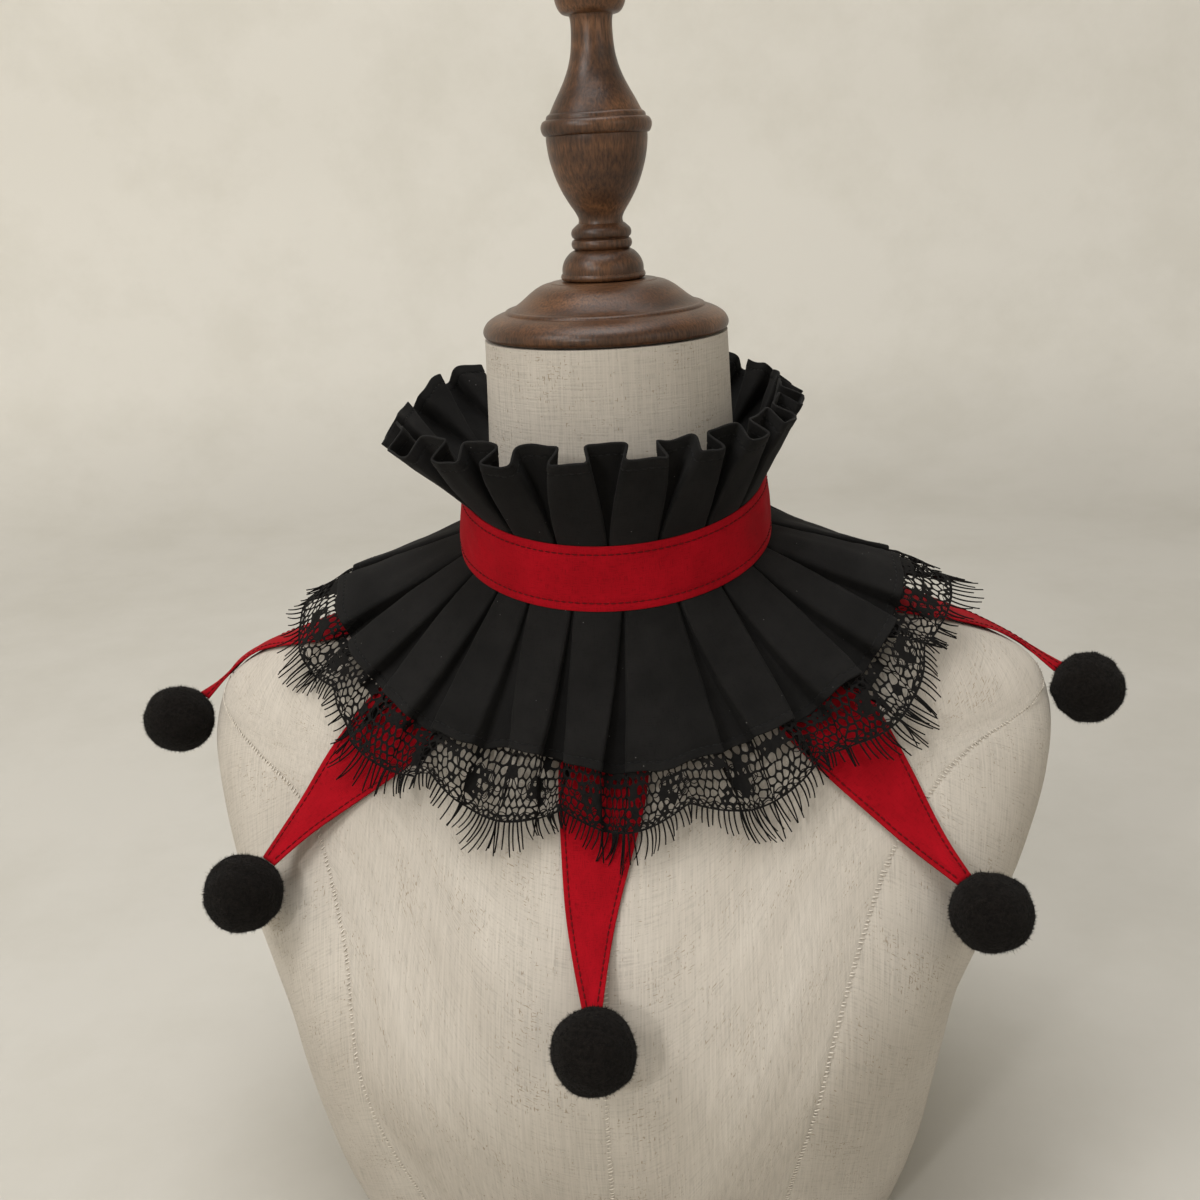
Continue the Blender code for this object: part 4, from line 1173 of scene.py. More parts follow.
def make_band():
    """The red neckband: rolled edges, puckers along two stitched lines, and soft waves between them."""
    azimuths = np.linspace(-BACK_OPENING, BACK_OPENING, BAND_COLUMNS + 1)
    width = math.hypot(BAND_TOP - BAND_BOTTOM, BAND_BOTTOM_RADIUS - BAND_TOP_RADIUS)
    edges = edge_steps(BAND_STITCH, BAND_STITCH_SIDE)
    middle = np.linspace(edges[-1], width - edges[-1], BAND_ROWS)[1:-1]
    downs = np.array([*edges, *middle, *[width - edge for edge in reversed(edges)]])
    surface = []
    for down in downs:
        share = down / width
        radius = blend(BAND_TOP_RADIUS, BAND_BOTTOM_RADIUS, share) - BAND_WALL / 2
        level = blend(BAND_TOP, BAND_BOTTOM, share)
        surface.append([place(azimuth, radius, band_height(azimuth, radius, level)) for azimuth in azimuths])
    surface = np.array(surface)
    across, down = np.meshgrid(np.radians(azimuths) * BAND_BOTTOM_RADIUS, downs)
    relief = waves(across, down, 3, BAND_WAVES) * np.sin(math.pi * down / width)
    wide, rise = BAND_PUCKER
    wander_length, wander = BAND_PUCKER_WANDER
    pucker = soft_ridge(down - BAND_STITCH, wide) + soft_ridge(width - down - BAND_STITCH, wide)
    turn = across * 2 * math.pi / STITCH_PITCH + wander * np.sin(across / wander_length)
    relief += rise * np.sin(turn) * pucker
    surface = surface + grid_normals(surface) * relief[..., None]
    edge = np.minimum(down, width - down)
    thickness = BAND_WALL - 2 * EDGE_ROLL[1] * soft_ridge(edge, EDGE_ROLL[0])
    thickness -= 2 * STITCH_GROOVE[1] * soft_ridge(edge - BAND_STITCH, STITCH_GROOVE[0])
    piece, normals = add_shell("red_neckband", surface, thickness, "red_cotton", ("neck_band",))
    stitched = edges.index(BAND_STITCH)
    stitches = []
    for row in (stitched, len(downs) - 1 - stitched):
        stitches += stitch_line(surface[row], normals[row], BAND_WALL / 2 - STITCH_SUNK)
    add_joined("neckband_stitches", stitches, "red_thread")


def rounded(path, cut):
    """An open path with its corners rounded and its sides divided, and where each point lies on it."""
    points, sides = [path[0]], [(0, 0.0)]
    for index in range(1, len(path)):
        if index < len(path) - 1:
            before, corner, after = path[index - 1], path[index], path[index + 1]
            ends = []
            for neighbour in (before, after):
                share = min(cut / max(math.dist(corner, neighbour), 1e-9), BEVEL_SHARE)
                ends.append(mix(corner, neighbour, share))
            arc = []
            for step in range(ARC_STEPS + 1):
                share = step / ARC_STEPS
                arc.append(mix(mix(ends[0], corner, share), mix(corner, ends[1], share), share))
        else:
            arc = [path[-1]]
        start = points[-1]
        for step in range(1, SIDE_STEPS):
            points.append(mix(start, arc[0], step / SIDE_STEPS))
            sides.append((index - 1, step / SIDE_STEPS))
        for step, point in enumerate(arc):
            points.append(point)
            sides.append((index - 1, 1.0) if step <= ARC_STEPS / 2 else (index, 0.0))
    return points, sides


Ruff = namedtuple("Ruff", (
    "line", "pleats", "depth", "return_width", "opening", "hem_round", "hem", "uneven", "bulges", "creases",
    "seed", "over_form", "flat",
))
RUFFS = {
    "upper": Ruff(
        line=upper_line, pleats=UPPER_PLEATS, depth=UPPER_DEPTH, return_width=UPPER_RETURN, opening=1.9,
        hem_round=3.0, hem=4.6, uneven=1.1, bulges=(0.1, 1.1), creases=UPPER_CREASES, seed=7,
        over_form=False, flat=(0.039, 1.00),
    ),
    "lower": Ruff(
        line=lower_line, pleats=LOWER_PLEATS, depth=LOWER_DEPTH, return_width=LOWER_RETURN, opening=1.15,
        hem_round=2.0, hem=3.6, uneven=1.3, bulges=(-0.5, 1.5), creases=LOWER_CREASES, seed=8,
        over_form=True, flat=(0.062, 1.13),
    ),
}


def ruff_levels(hem, length):
    """Levels down a ruff: even ones, then a groove where the hem is stitched, and the hem."""
    stitched = 1 - hem / length
    near = HEM_STEP / length
    even = [level for level in RUFF_LEVELS if level < stitched - 3 * near]
    return [*even, stitched - 2 * near, stitched - near, stitched, stitched + near, stitched + 2 * near,
            blend(stitched, 1.0, 0.5), 1 - 2 * near, 1.0]


def ruff_surface(ruff, levels):
    """A ruff's rows of points as azimuth, radius and height, and where each column lies on the pleats."""
    rows, sides = [], None
    line = ruff.line
    for level in levels:
        path = fold_path(ruff.pleats, level, ruff.depth, ruff.return_width, line(0.0, 0.0)[0], ruff.opening)
        if ruff.over_form:
            path = shallower(path, lambda azimuth: line(azimuth, level)[:2], clearance(level))
        scale = math.radians(1) * line(MEAN_AZIMUTH, level)[0]
        flat = [(azimuth * scale, inset) for azimuth, inset in path]
        points, sides = rounded(flat, blend(SEAM_ROUND, ruff.hem_round, max(level, 0.0)))
        rows.append([on_line(line, along / scale, level, inset) for along, inset in points])
    return rows, sides


def face_bulge(ruff, sides):
    """Relief of the outer faces: each one bulges or hollows by its own amount."""
    dice = random.Random(ruff.seed)
    rises = [dice.uniform(*ruff.bulges) for _ in ruff.pleats]
    leans = [dice.uniform(-0.5, 0.5) for _ in ruff.pleats]
    relief = np.zeros(len(sides))
    for index, (side, share) in enumerate(sides):
        pleat, part = divmod(side, 4)
        if part == 1:
            angle = math.pi * share
            relief[index] = rises[pleat] * math.sin(angle) + leans[pleat] * math.sin(2 * angle)
    return relief


def crease_relief(azimuths, levels, creases, radii):
    """Relief of the listed creases, which fade out at their ends."""
    relief = np.zeros(azimuths.shape)
    for from_azimuth, from_level, to_azimuth, to_level, width, rise in creases:
        share = (levels - from_level) / (to_level - from_level)
        centre = from_azimuth + (to_azimuth - from_azimuth) * share
        distance = np.radians(azimuths - centre) * radii
        fade = np.clip(share * CREASE_FADE, 0, 1)
        if to_level < 1:
            fade = fade * np.clip((1 - share) * CREASE_FADE, 0, 1)
        relief += rise * soft_ridge(distance, width) * fade
    return relief


def make_ruff(name, ruff):
    """A pleated ruff with bulging faces, creases, an uneven hem, and a groove and stitches along it."""
    seam, edge = ruff.line(0.0, 0.0), ruff.line(0.0, 1.0)
    length = math.hypot(edge[0] - seam[0], edge[1] - seam[1])
    levels = ruff_levels(ruff.hem, length)
    rows, sides = ruff_surface(ruff, levels)
    azimuths, radii, _ = np.array(rows).transpose(2, 0, 1)
    surface = np.array([[place(*point) for point in row] for row in rows])
    down = np.maximum(np.array(levels)[:, None] * np.ones_like(azimuths), 0.0)
    growth = down * (1 - RELIEF_SLOWS * down)
    relief = face_bulge(ruff, sides)[None, :] * growth
    outer = np.array([1.0 if side % 4 == 1 else 0.0 for side, _ in sides])[None, :]
    relief += crease_relief(azimuths, down, ruff.creases, radii) * outer
    relief += waves(np.radians(azimuths) * radii, down * length, ruff.seed, RUFF_WAVES) * growth
    surface = surface + grid_normals(surface) * relief[..., None] * facing(surface, RUFF_LIFT)
    fall = surface[-1] - surface[0]
    fall /= np.linalg.norm(fall, axis=1, keepdims=True)
    uneven = uneven_hem(azimuths[-1], ruff)
    surface = surface + fall[None] * (uneven[None, :] * down ** HEM_SWING_GROWTH)[..., None]
    if ruff.over_form:
        outer_level, share = RUFF_OUTER_CLEARANCE
        outer_gap = blend(RUFF_CLEARANCE, LOWER_CLEARANCE, share)
        gaps = [outer_gap if level > outer_level else RUFF_CLEARANCE for level in levels]
        surface = np.array([[clear_of_form(point, gap) for point in row] for gap, row in zip(gaps, surface)])
    stitched = 1 - ruff.hem / length
    thickness = CLOTH_THICK + HEM_THICKER * (down > stitched)
    thickness = thickness - 2 * HEM_GROOVE[1] * soft_ridge((down - stitched) * length, HEM_GROOVE[0])
    look = "black_cotton"
    piece, normals = add_shell(f"{name}_ruff_cloth", surface, thickness, look, (f"{name}_ruff",))
    row = levels.index(stitched)
    outward = normals[row] * facing(surface, RUFF_LIFT)
    stitches = []
    for normal in (outward, -outward):
        stitches += stitch_line(surface[row], normal, CLOTH_THICK / 2 - HEM_STITCH_SUNK)
    add_joined(f"{name}_ruff_cloth_stitches", stitches, "black_thread")


def uneven_hem(azimuths, ruff):
    """How far each place of the hem hangs below, or stays above, its even line."""
    dice = random.Random(ruff.seed + 90)
    uneven = np.zeros(len(azimuths))
    for count in HEM_SWINGS:
        uneven += ruff.uneven / 3 * np.sin(np.radians(azimuths) * count + dice.uniform(0, 6))
    if ruff.over_form:
        uneven += np.array([smooth_row(LOWER_HEM_SHIFT, azimuth)[0] for azimuth in azimuths])
    return uneven


def facing(surface, lift):
    """1 or -1, so that a grid's normals times it point out and up, by as much up as the lift says."""
    outward = surface * np.array([1.0, 1.0, 0.0]) + np.array([0.0, 0.0, lift])
    return 1.0 if (grid_normals(surface) * outward).sum() > 0 else -1.0


# ---------------------------------------------------------------- lace and lashes


def lace_lines():
    """The lace's folds at its top and at its edge, with the same number of points."""
    path = fold_path(LOWER_PLEATS, 1.0, LOWER_DEPTH, LOWER_RETURN, BAND_BOTTOM_RADIUS)
    kinds = ["inner", "corner", "corner", "inner"] * len(LOWER_PLEATS)
    path = shallower(path, lambda azimuth: lower_line(azimuth, 1.0)[:2], LOWER_CLEARANCE)
    edge = shallower(opened(path, kinds), lace_edge, LOWER_CLEARANCE, LACE_LEAST_DEPTH)
    lines = []
    for corners, reach, cut in ((path, 0.0, LACE_ROUND), (edge, LACE_NOTCH, LACE_EDGE_ROUND)):
        scale = math.radians(1) * (lower_line(MEAN_AZIMUTH, 1.0)[0] + reach)
        flat = [(azimuth * scale, inset) for azimuth, inset in corners]
        points, _ = rounded(flat, cut)
        lines.append((np.array(points), scale))
    return lines


def lace_surface():
    """A fine grid of the lace: distances along it, shares down it, and points."""
    (top, top_scale), (edge, edge_scale) = lace_lines()
    reached = (reached_along(top) + reached_along(edge)) / 2
    along = np.linspace(0.0, reached[-1], int(reached[-1] / LACE_GRID_STEP))
    shares = np.linspace(0.0, 1.0, LACE_GRID_ROWS)
    columns = []
    for distance in along:
        top_point, edge_point = value_at(reached, top, distance), value_at(reached, edge, distance)
        column = []
        for share in shares:
            azimuth = blend(top_point[0] / top_scale, edge_point[0] / edge_scale, share)
            inset = blend(top_point[1], edge_point[1], share)
            depth = lace_depth(azimuth) + LACE_LAP
            azimuth, radius, height = lace_point(azimuth, inset, share * depth - LACE_LAP)
            radius, height = off_form(azimuth, radius, height, LOWER_CLEARANCE + CLOTH_WALL / 2)
            column.append(place(azimuth, radius, height))
        columns.append(column)
    surface = np.array(columns).transpose(1, 0, 2)
    relief = waves(along[None, :], shares[:, None] * 20, 0, LACE_WAVES) * shares[:, None] ** 2
    surface = surface + grid_normals(surface) * relief[..., None]
    return along, shares, surface


def sampler(along, shares, values):
    """A function for the values on the lace's grid at a distance along it and a share down it."""
    def at(distance, share):
        x = min(max(distance / (along[1] - along[0]), 0.0), len(along) - 1.001)
        y = min(max(share / (shares[1] - shares[0]), 0.0), len(shares) - 1.001)
        column, row = int(x), int(y)
        upper = blend(values[row, column], values[row, column + 1], x - column)
        lower = blend(values[row + 1, column], values[row + 1, column + 1], x - column)
        return blend(upper, lower, y - row)
    return at


def lace_samplers(lace):
    along, shares, surface = lace
    return sampler(along, shares, surface), sampler(along, shares, grid_normals(surface))


def nearest_rosette(distance, share):
    """Offsets in millimetres from the nearest rosette's middle."""
    middle = (math.floor(distance / ROSETTE_PITCH) + 0.5) * ROSETTE_PITCH
    return distance - middle, (share - ROSETTE_MIDDLE) * LACE_WHOLE


def hole_size(dice, distance, share):
    """How much of a cell its hole takes: dense rosettes, leaves and rim between open net."""
    if share > LACE_ROWS[-2]:
        return 0.0
    if share > LACE_ROWS[-3]:
        return dice.uniform(*LACE_RIM_HOLE)
    x, y = nearest_rosette(distance, share)
    reach = math.hypot(x, y)
    if reach < ROSETTE_RING:
        return ROSETTE_RING_HOLE
    if reach < ROSETTE_REACH:
        petal = math.cos(math.atan2(y, x) * ROSETTE_PETALS)
        return dice.uniform(*(LACE_DENSE_HOLE if petal > PETAL_FROM else PETAL_BETWEEN_HOLE))
    leaf_x = abs(abs(x) - ROSETTE_PITCH / 2) / LEAF_REACH[0]
    leaf_y = (share - LEAF_MIDDLE) * LACE_WHOLE / LEAF_REACH[1]
    if math.hypot(leaf_x, leaf_y) < 1 or dice.random() < LACE_CLOSED_SHARE:
        return dice.uniform(*LACE_DENSE_HOLE)
    return dice.uniform(*LACE_HOLE)


def cord_lines(length):
    """Outline cords of the lace as lists of (distance, share): rings, petals, leaves and rim."""
    lines = []
    for index in range(int(length / ROSETTE_PITCH)):
        middle = (index + 0.5) * ROSETTE_PITCH

        def spot(reach, angle):
            return middle + reach * math.cos(angle), ROSETTE_MIDDLE + reach * math.sin(angle) / LACE_WHOLE

        for radius, waviness in RING_CORDS:
            angles = [2 * math.pi * step / RING_CORD_STEPS for step in range(RING_CORD_STEPS + 1)]
            lines.append([
                spot(radius * (1 + waviness * math.cos(ROSETTE_PETALS * angle)), angle) for angle in angles
            ])
        for petal in range(ROSETTE_PETALS):
            angle = 2 * math.pi * petal / ROSETTE_PETALS
            inner, outer = ROSETTE_RING, PETAL_CORD_REACH
            lines.append([spot(reach, angle) for reach in (inner, (inner + outer) / 2, outer)])
        for side in (-1, 1):
            leaf = []
            for step in range(LEAF_CORD_STEPS + 1):
                share = step / LEAF_CORD_STEPS
                level = blend(ROSETTE_MIDDLE, LEAF_MIDDLE, share)
                level += LEAF_CORD_SWING * math.sin(2 * math.pi * share)
                leaf.append((middle + side * blend(ROSETTE_REACH, ROSETTE_PITCH / 2, share), level))
            lines.append(leaf)
    for level, swing, turn in RIM_CORDS:
        distances = [step * CORD_STEP for step in range(1, int(length / CORD_STEP))]
        lines.append([
            (distance, level + swing * math.sin(distance * 2 * math.pi / turn)) for distance in distances
        ])
    return lines


def make_cords(name, lace):
    """The cords that outline the lace's motifs and its rim."""
    length = lace[0][-1]
    point_at, normal_at = lace_samplers(lace)
    cords = []
    for line in cord_lines(length):
        line = [(distance, min(share, CORD_LAST_SHARE)) for distance, share in line]
        centres = [point_at(min(distance, length - 0.3), share) for distance, share in line]
        normals = [normal_at(distance, share) for distance, share in line]
        sides = []
        for index, normal in enumerate(normals):
            ahead = centres[min(index + 1, len(centres) - 1)] - centres[max(index - 1, 0)]
            sides.append(normed(np.cross(ahead, normal)))
        cords.append(tube(centres, sides, normals, [CORD_RADIUS] * len(centres), CORD_SIDES))
    add_joined(name, cords, "black_lace")


def lace_lattice(dice, cells, half):
    """The corners of the net's cells as (distance, share), half a cell apart, jittered inside the net."""
    corners = []
    last = len(LACE_ROWS) - 1
    for row, level in enumerate(LACE_ROWS):
        for k in range(2 * cells + 1):
            zigzag = LACE_ZIGZAG * (-1 if (k + row) % 2 else 1) if 0 < row < last - 1 else 0.0
            side = dice.uniform(-1, 1) * LACE_JITTER[0] if 0 < k < 2 * cells else 0.0
            down = dice.uniform(-1, 1) * LACE_JITTER[1] if 0 < row < last - 1 else 0.0
            corners.append((k * half + side, level + zigzag + down))
    return corners


def cell_faces(dice, corners, flat_points):
    """Faces of a six-sided cell, and the ring round its hole. Their new points are added to flat_points."""
    outline = [flat_points[corner] for corner in corners]
    centre = tuple(sum(point[axis] for point in outline) / 6 for axis in (0, 1))
    size = hole_size(dice, *centre)
    if size < LACE_LEAST_HOLE:
        flat_points.append(centre)
        middle = len(flat_points) - 1
        return [(corners[step], corners[(step + 1) % 6], middle) for step in range(6)], []
    ring, faces = [], []
    for step in range(6):
        halfway = mix(outline[step], outline[(step + 1) % 6], 0.5)
        for point, reach in ((outline[step], 0.92), (halfway, 1.03)):
            flat_points.append(mix(centre, point, size * reach))
            ring.append(len(flat_points) - 1)
    for step in range(6):
        a, b = corners[step], corners[(step + 1) % 6]
        first, middle, last = ring[2 * step], ring[2 * step + 1], ring[(2 * step + 2) % 12]
        faces += [(a, middle, first), (a, b, middle), (b, last, middle)]
    return faces, ring


def make_lace(name, node_name, lace, seed):
    """The lace's net: thick cells on its surface, with walls round their holes and along the edges."""
    point_at, normal_at = lace_samplers(lace)
    dice = random.Random(seed)
    length = lace[0][-1]
    cells = int(length / LACE_PITCH)
    across = 2 * cells + 1
    flat_points = lace_lattice(dice, cells, length / cells / 2)
    top_faces, loops = [], []
    for row in range(len(LACE_ROWS) - 1):
        for k in range(row % 2, 2 * cells - 1, 2):
            a, b = row * across + k, (row + 1) * across + k
            faces, ring = cell_faces(dice, [a, a + 1, a + 2, b + 2, b + 1, b], flat_points)
            top_faces += faces
            loops += zip(ring, [*ring[1:], *ring[:1]])
        for k in (0, 2 * cells - 1) if row % 2 else ():
            a, b = row * across + k, (row + 1) * across + k
            top_faces.append((a, a + 1, b + 1, b))
    for first in (0, (len(LACE_ROWS) - 1) * across):
        loops += [(first + k, first + k + 1) for k in range(2 * cells)]
    outer, inner = [], []
    for distance, share in flat_points:
        centre, normal = point_at(distance, share), normal_at(distance, share)
        outer.append(centre + normal * LACE_THICK / 2)
        inner.append(centre - normal * LACE_THICK / 2)
    under = len(flat_points)
    faces = top_faces + [tuple(under + corner for corner in reversed(face)) for face in top_faces]
    faces += [(a, b, under + b, under + a) for a, b in loops]
    piece = add_piece(name, outer + inner, faces, "black_lace", (node_name,), None, LACE_SHARP)


def make_lashes(name, node_name, lace, seed):
    """Loose threads that stand out from the scalloped edge, most at right angles to it."""
    point_at, normal_at = lace_samplers(lace)
    dice = random.Random(seed + 40)
    lashes = []
    distance = dice.uniform(*LASH_SPACING)
    while distance < lace[0][-1] - 1:
        root = point_at(distance, LASH_ROOT)
        down = normed(root - point_at(distance, 0.85))
        normal = normal_at(distance, 1.0)
        square = normed(np.cross(normal, point_at(distance + 2, 1.0) - point_at(distance - 2, 1.0)))
        square *= math.copysign(1.0, float(square @ down))
        ahead = normed(square * LASH_SQUARE + down * (1 - LASH_SQUARE))
        side = np.cross(ahead, normal)
        tip_share = scallop(math.degrees(math.atan2(root[0], -root[1]))) ** 3
        length = blend(*LASH_LENGTH, tip_share) * dice.uniform(*LASH_LENGTH_VARIES)
        fan = dice.gauss(0, LASH_FAN)
        swing_length, swing = LASH_CURL_SWING
        curl = (swing * math.sin(distance / swing_length + seed) + dice.gauss(0, LASH_STRAY)) * LASH_CURL
        curl *= blend(*LASH_CURL_AT, tip_share)
        lift = dice.uniform(*LASH_LIFT)
        centres, radii = [], []
        for step in range(LASH_STEPS + 1):
            share = step / LASH_STEPS
            point = root + ahead * length * share + side * (fan * length * share + curl * share ** 2)
            centres.append(np.array(clear_of_form(point + normal * lift * share ** 2, LASH_CLEAR)))
            radii.append(blend(*LASH_RADIUS, share))
        count = len(centres)
        lashes.append(tube(centres, [side] * count, [normal] * count, radii, LASH_SIDES))
        distance += dice.uniform(*LASH_SPACING)
    add_joined(name, lashes, "black_lace", (node_name,))


# ---------------------------------------------------------------- points and pompoms


def unit(vector):
    length = math.hypot(*vector)
    return tuple(part / length for part in vector)


def on_form(azimuth, height):
    """Radius and height of the point that stands off the form's surface by the points' clearance."""
    slope = form_slope(azimuth, height)
    scale = math.hypot(1, slope)
    return form_radius(azimuth, height) + POINT_CLEARANCE / scale, height - slope * POINT_CLEARANCE / scale


def point_line(neck_azimuth, last_azimuth, last_height, pompom):
    """The middle of a red point, evenly spaced: down the form from the neck, then to its pompom."""
    line = []
    height = BAND_BOTTOM
    while height > last_height:
        turned = blend(neck_azimuth, last_azimuth, (BAND_BOTTOM - height) / (BAND_BOTTOM - last_height))
        if form_radius(turned, height) >= POINT_START:
            line.append(place(turned, *on_form(turned, height)))
        height -= 1.0
    back = unit(tuple(a - b for a, b in zip(line[-1], pompom)))
    line.append(tuple(a + b * (POMPOM_RADIUS - TIP_SUNK) for a, b in zip(pompom, back)))
    line = np.array(line)
    reached = reached_along(line)
    even = value_at(reached, line, np.linspace(0.0, reached[-1], POINT_ROWS)).T
    return smoothed(even, POINT_SMOOTH_STEPS), reached[-1]


def smoothed(rows, steps):
    """Rows of points drawn taut between the first and the last one, step by step."""
    for _ in range(steps):
        rows[1:-1] = rows[1:-1] * 0.5 + (rows[:-2] + rows[2:]) * 0.25
    return rows


def point_side(centre, ahead, hanging):
    """The direction across a point: level round the form, and turned to face up and out where it hangs."""
    level = np.array(unit((-centre[1], centre[0], 0.0)))
    turned = np.cross(ahead, np.array(POINT_FACING))
    turned *= math.copysign(1.0, float(turned @ level)) / np.linalg.norm(turned)
    side = level * (1 - POINT_TWIST * hanging) + turned * POINT_TWIST * hanging
    side -= ahead * float(side @ ahead)
    return side / np.linalg.norm(side)


def point_half_width(distance, length):
    """Half the width of a point at a distance from its tip: tapered, but narrow again at the neck seam."""
    if distance <= POINT_FULL:
        return POINT_TIP_HALF + POINT_TAPER * distance
    widest = POINT_TIP_HALF + POINT_TAPER * POINT_FULL
    return blend(widest, POINT_SEAM_HALF, (distance - POINT_FULL) / max(length - POINT_FULL, 1.0))


def point_columns(half, stitch):
    """Places across a point of some half width: close together at its rolled edges and its stitched lines."""
    insets = sorted({round(value, 4) for value in edge_steps(stitch, POINT_STITCH_SIDE)})
    inner = np.linspace(-half + insets[-1], half - insets[-1], POINT_COLUMNS - 2 * len(insets) + 2)[1:-1]
    return [*[-half + inset for inset in insets], *inner, *[half - inset for inset in reversed(insets)]]


def make_point(name, neck_azimuth, last_azimuth, last_height, pompom, seed):
    """A red point: doubled cloth that lies on the form and hangs free beyond it, stitched near its edges."""
    middle, length = point_line(neck_azimuth, last_azimuth, last_height, pompom)
    to_tip = reached_along(middle[::-1])[::-1]
    halves = [point_half_width(distance, length) for distance in to_tip]
    stitched = [min(POINT_STITCH, half * POINT_STITCH_SHARE) for half in halves]
    surface, edges = [], []
    for index, (centre, half, stitch) in enumerate(zip(middle, halves, stitched)):
        ahead = middle[min(index + 1, len(middle) - 1)] - middle[max(index - 1, 0)]
        x, y, height = centre
        lift = form_gap(math.degrees(math.atan2(x, -y)), math.hypot(x, y), height) - POINT_CLEARANCE
        hanging = min(max(lift / POINT_LIFT, POINT_PROUD.get(name, 0.0)), 1.0)
        sideways = point_side(centre, normed(ahead), hanging)
        across = point_columns(half, stitch)
        surface.append([
            clear_of_form(centre + sideways * side, POINT_CLEARANCE, hanging, POINT_DRAPE_ROUNDS)
            for side in across
        ])
        edges.append([half - abs(side) for side in across])
    surface = np.array(surface)
    for _ in range(POINT_TAUT_ROUNDS):
        surface = smoothed(surface, POINT_TAUT_STEPS)
        gap = POINT_CLEARANCE * POINT_PRESSED
        surface = np.array([[clear_of_form(point, gap) for point in row] for row in surface])
    sign = facing(surface, POINT_SIDE_LIFT)
    edges = np.array(edges)
    down = (length - to_tip)[:, None] * np.ones_like(edges)
    relief = waves(edges * 3, down, seed + 11, POINT_WAVES) * np.clip(edges / 4, 0, 1)
    wide, pucker = POINT_PUCKER
    relief += pucker * np.sin(down * 2 * math.pi / STITCH_PITCH) * soft_ridge(edges - POINT_STITCH, wide)
    rise = POINT_THICK / 2 + np.maximum(relief, POINT_DEEPEST)
    surface = surface + grid_normals(surface) * sign * rise[..., None]
    thickness = POINT_THICK - 2 * EDGE_ROLL[1] * soft_ridge(edges, EDGE_ROLL[0])
    thickness -= 2 * STITCH_GROOVE[1] * soft_ridge(edges - np.array(stitched)[:, None], STITCH_GROOVE[0])
    piece, normals = add_shell(
        f"red_point_{name}", surface, thickness, "red_cotton", (f"point_{name}",))
    stitches = []
    stitched_column = len(EDGE_STEPS) + 1
    for column in (stitched_column, surface.shape[1] - 1 - stitched_column):
        stitches += stitch_line(surface[:, column], normals[:, column] * sign, POINT_THICK / 2 - STITCH_SUNK)
    add_joined(f"point_{name}_stitches", stitches, "red_thread")


def random_vector(dice):
    return Vector([dice.gauss(0, 1) for _ in range(3)])


def make_pompom(name, centre, seed):
    """A ball of short dense pile: a lumpy core with thousands of fibres standing out of it."""
    dice = random.Random(seed)
    ball = bmesh.new()
    bmesh.ops.create_icosphere(ball, subdivisions=5, radius=1.0)
    ball.verts.index_update()
    directions = [corner.co.copy() for corner in ball.verts]
    faces = [[corner.index for corner in face.verts] for face in ball.faces]
    ball.free()
    lumps = [(random_vector(dice).normalized(), dice.uniform(0, 6), size) for size in PILE_WAVES]

    def core(direction):
        rise = sum(math.sin(direction.dot(axis) * size + phase) / size ** 0.5 for axis, phase, size in lumps)
        return PILE_BALL + PILE_LUMPS * rise / 2

    points = [tuple(c + d * core(direction) for c, d in zip(centre, direction)) for direction in directions]
    for _ in range(PILE_FIBRES):
        direction = random_vector(dice).normalized()
        spread = random_vector(dice)
        across = direction.cross(spread).normalized() * PILE_WIDTH / 2
        long = PILE_STRAYS[1] if dice.random() < PILE_STRAYS[0] else dice.uniform(*PILE_LENGTH)
        depth = core(direction) - PILE_ROOT
        root = direction * depth
        tip = direction * (depth + long) + spread * PILE_SPREAD * 0.5
        base = len(points)
        for corner in (root - across, root + across, tip):
            points.append(tuple(c + part for c, part in zip(centre, corner)))
        faces.append((base, base + 1, base + 2))
    add_piece(f"pile_{name}", points, faces, "black_pompom", (f"pompom_{name}",))


# ---------------------------------------------------------------- camera, light and backdrop

CAMERA_PLACE = (0.0494, -0.5565, 0.4702)
CAMERA_PITCH = math.radians(18.74)
CAMERA_YAW = math.radians(5.957)
CAMERA_ROLL = math.radians(-3.0455)
CAMERA_LENS = 39.0
CAMERA_SENSOR = 36.0
LIGHTS = (
    # name, place, aim, size, power, colour
    ("key", (-0.95, -0.95, 1.55), (0.0, 0.0, 0.25), 0.55, 8.0, (1.0, 0.985, 0.965)),
    ("window", (-0.65, -1.5, 1.0), (0.0, 0.0, 0.25), 0.16, 5.2, (1.0, 0.985, 0.965)),
    ("ceiling", (-0.1, -0.2, 2.1), (0.0, 0.0, 0.0), 1.4, 20.0, (1.0, 0.99, 0.975)),
    ("fill", (1.2, -1.1, 0.9), (0.0, 0.0, 0.25), 1.2, 2.4, (1.0, 0.985, 0.97)),
    ("wall", (0.1, 0.7, 1.9), (0.1, 1.8, 0.35), 1.0, 5.4, (1.0, 0.99, 0.98)),
)
WORLD_COLOUR = (1.0, 0.985, 0.965)
WORLD_STRENGTH = 0.2
BOWL_FLAT = 1.25
BOWL_CURVE = 0.55
BOWL_HEIGHT = 2.6
BOWL_SIDES = 96
BOWL_STEPS = 12
FLOOR_DROP = 0.0004


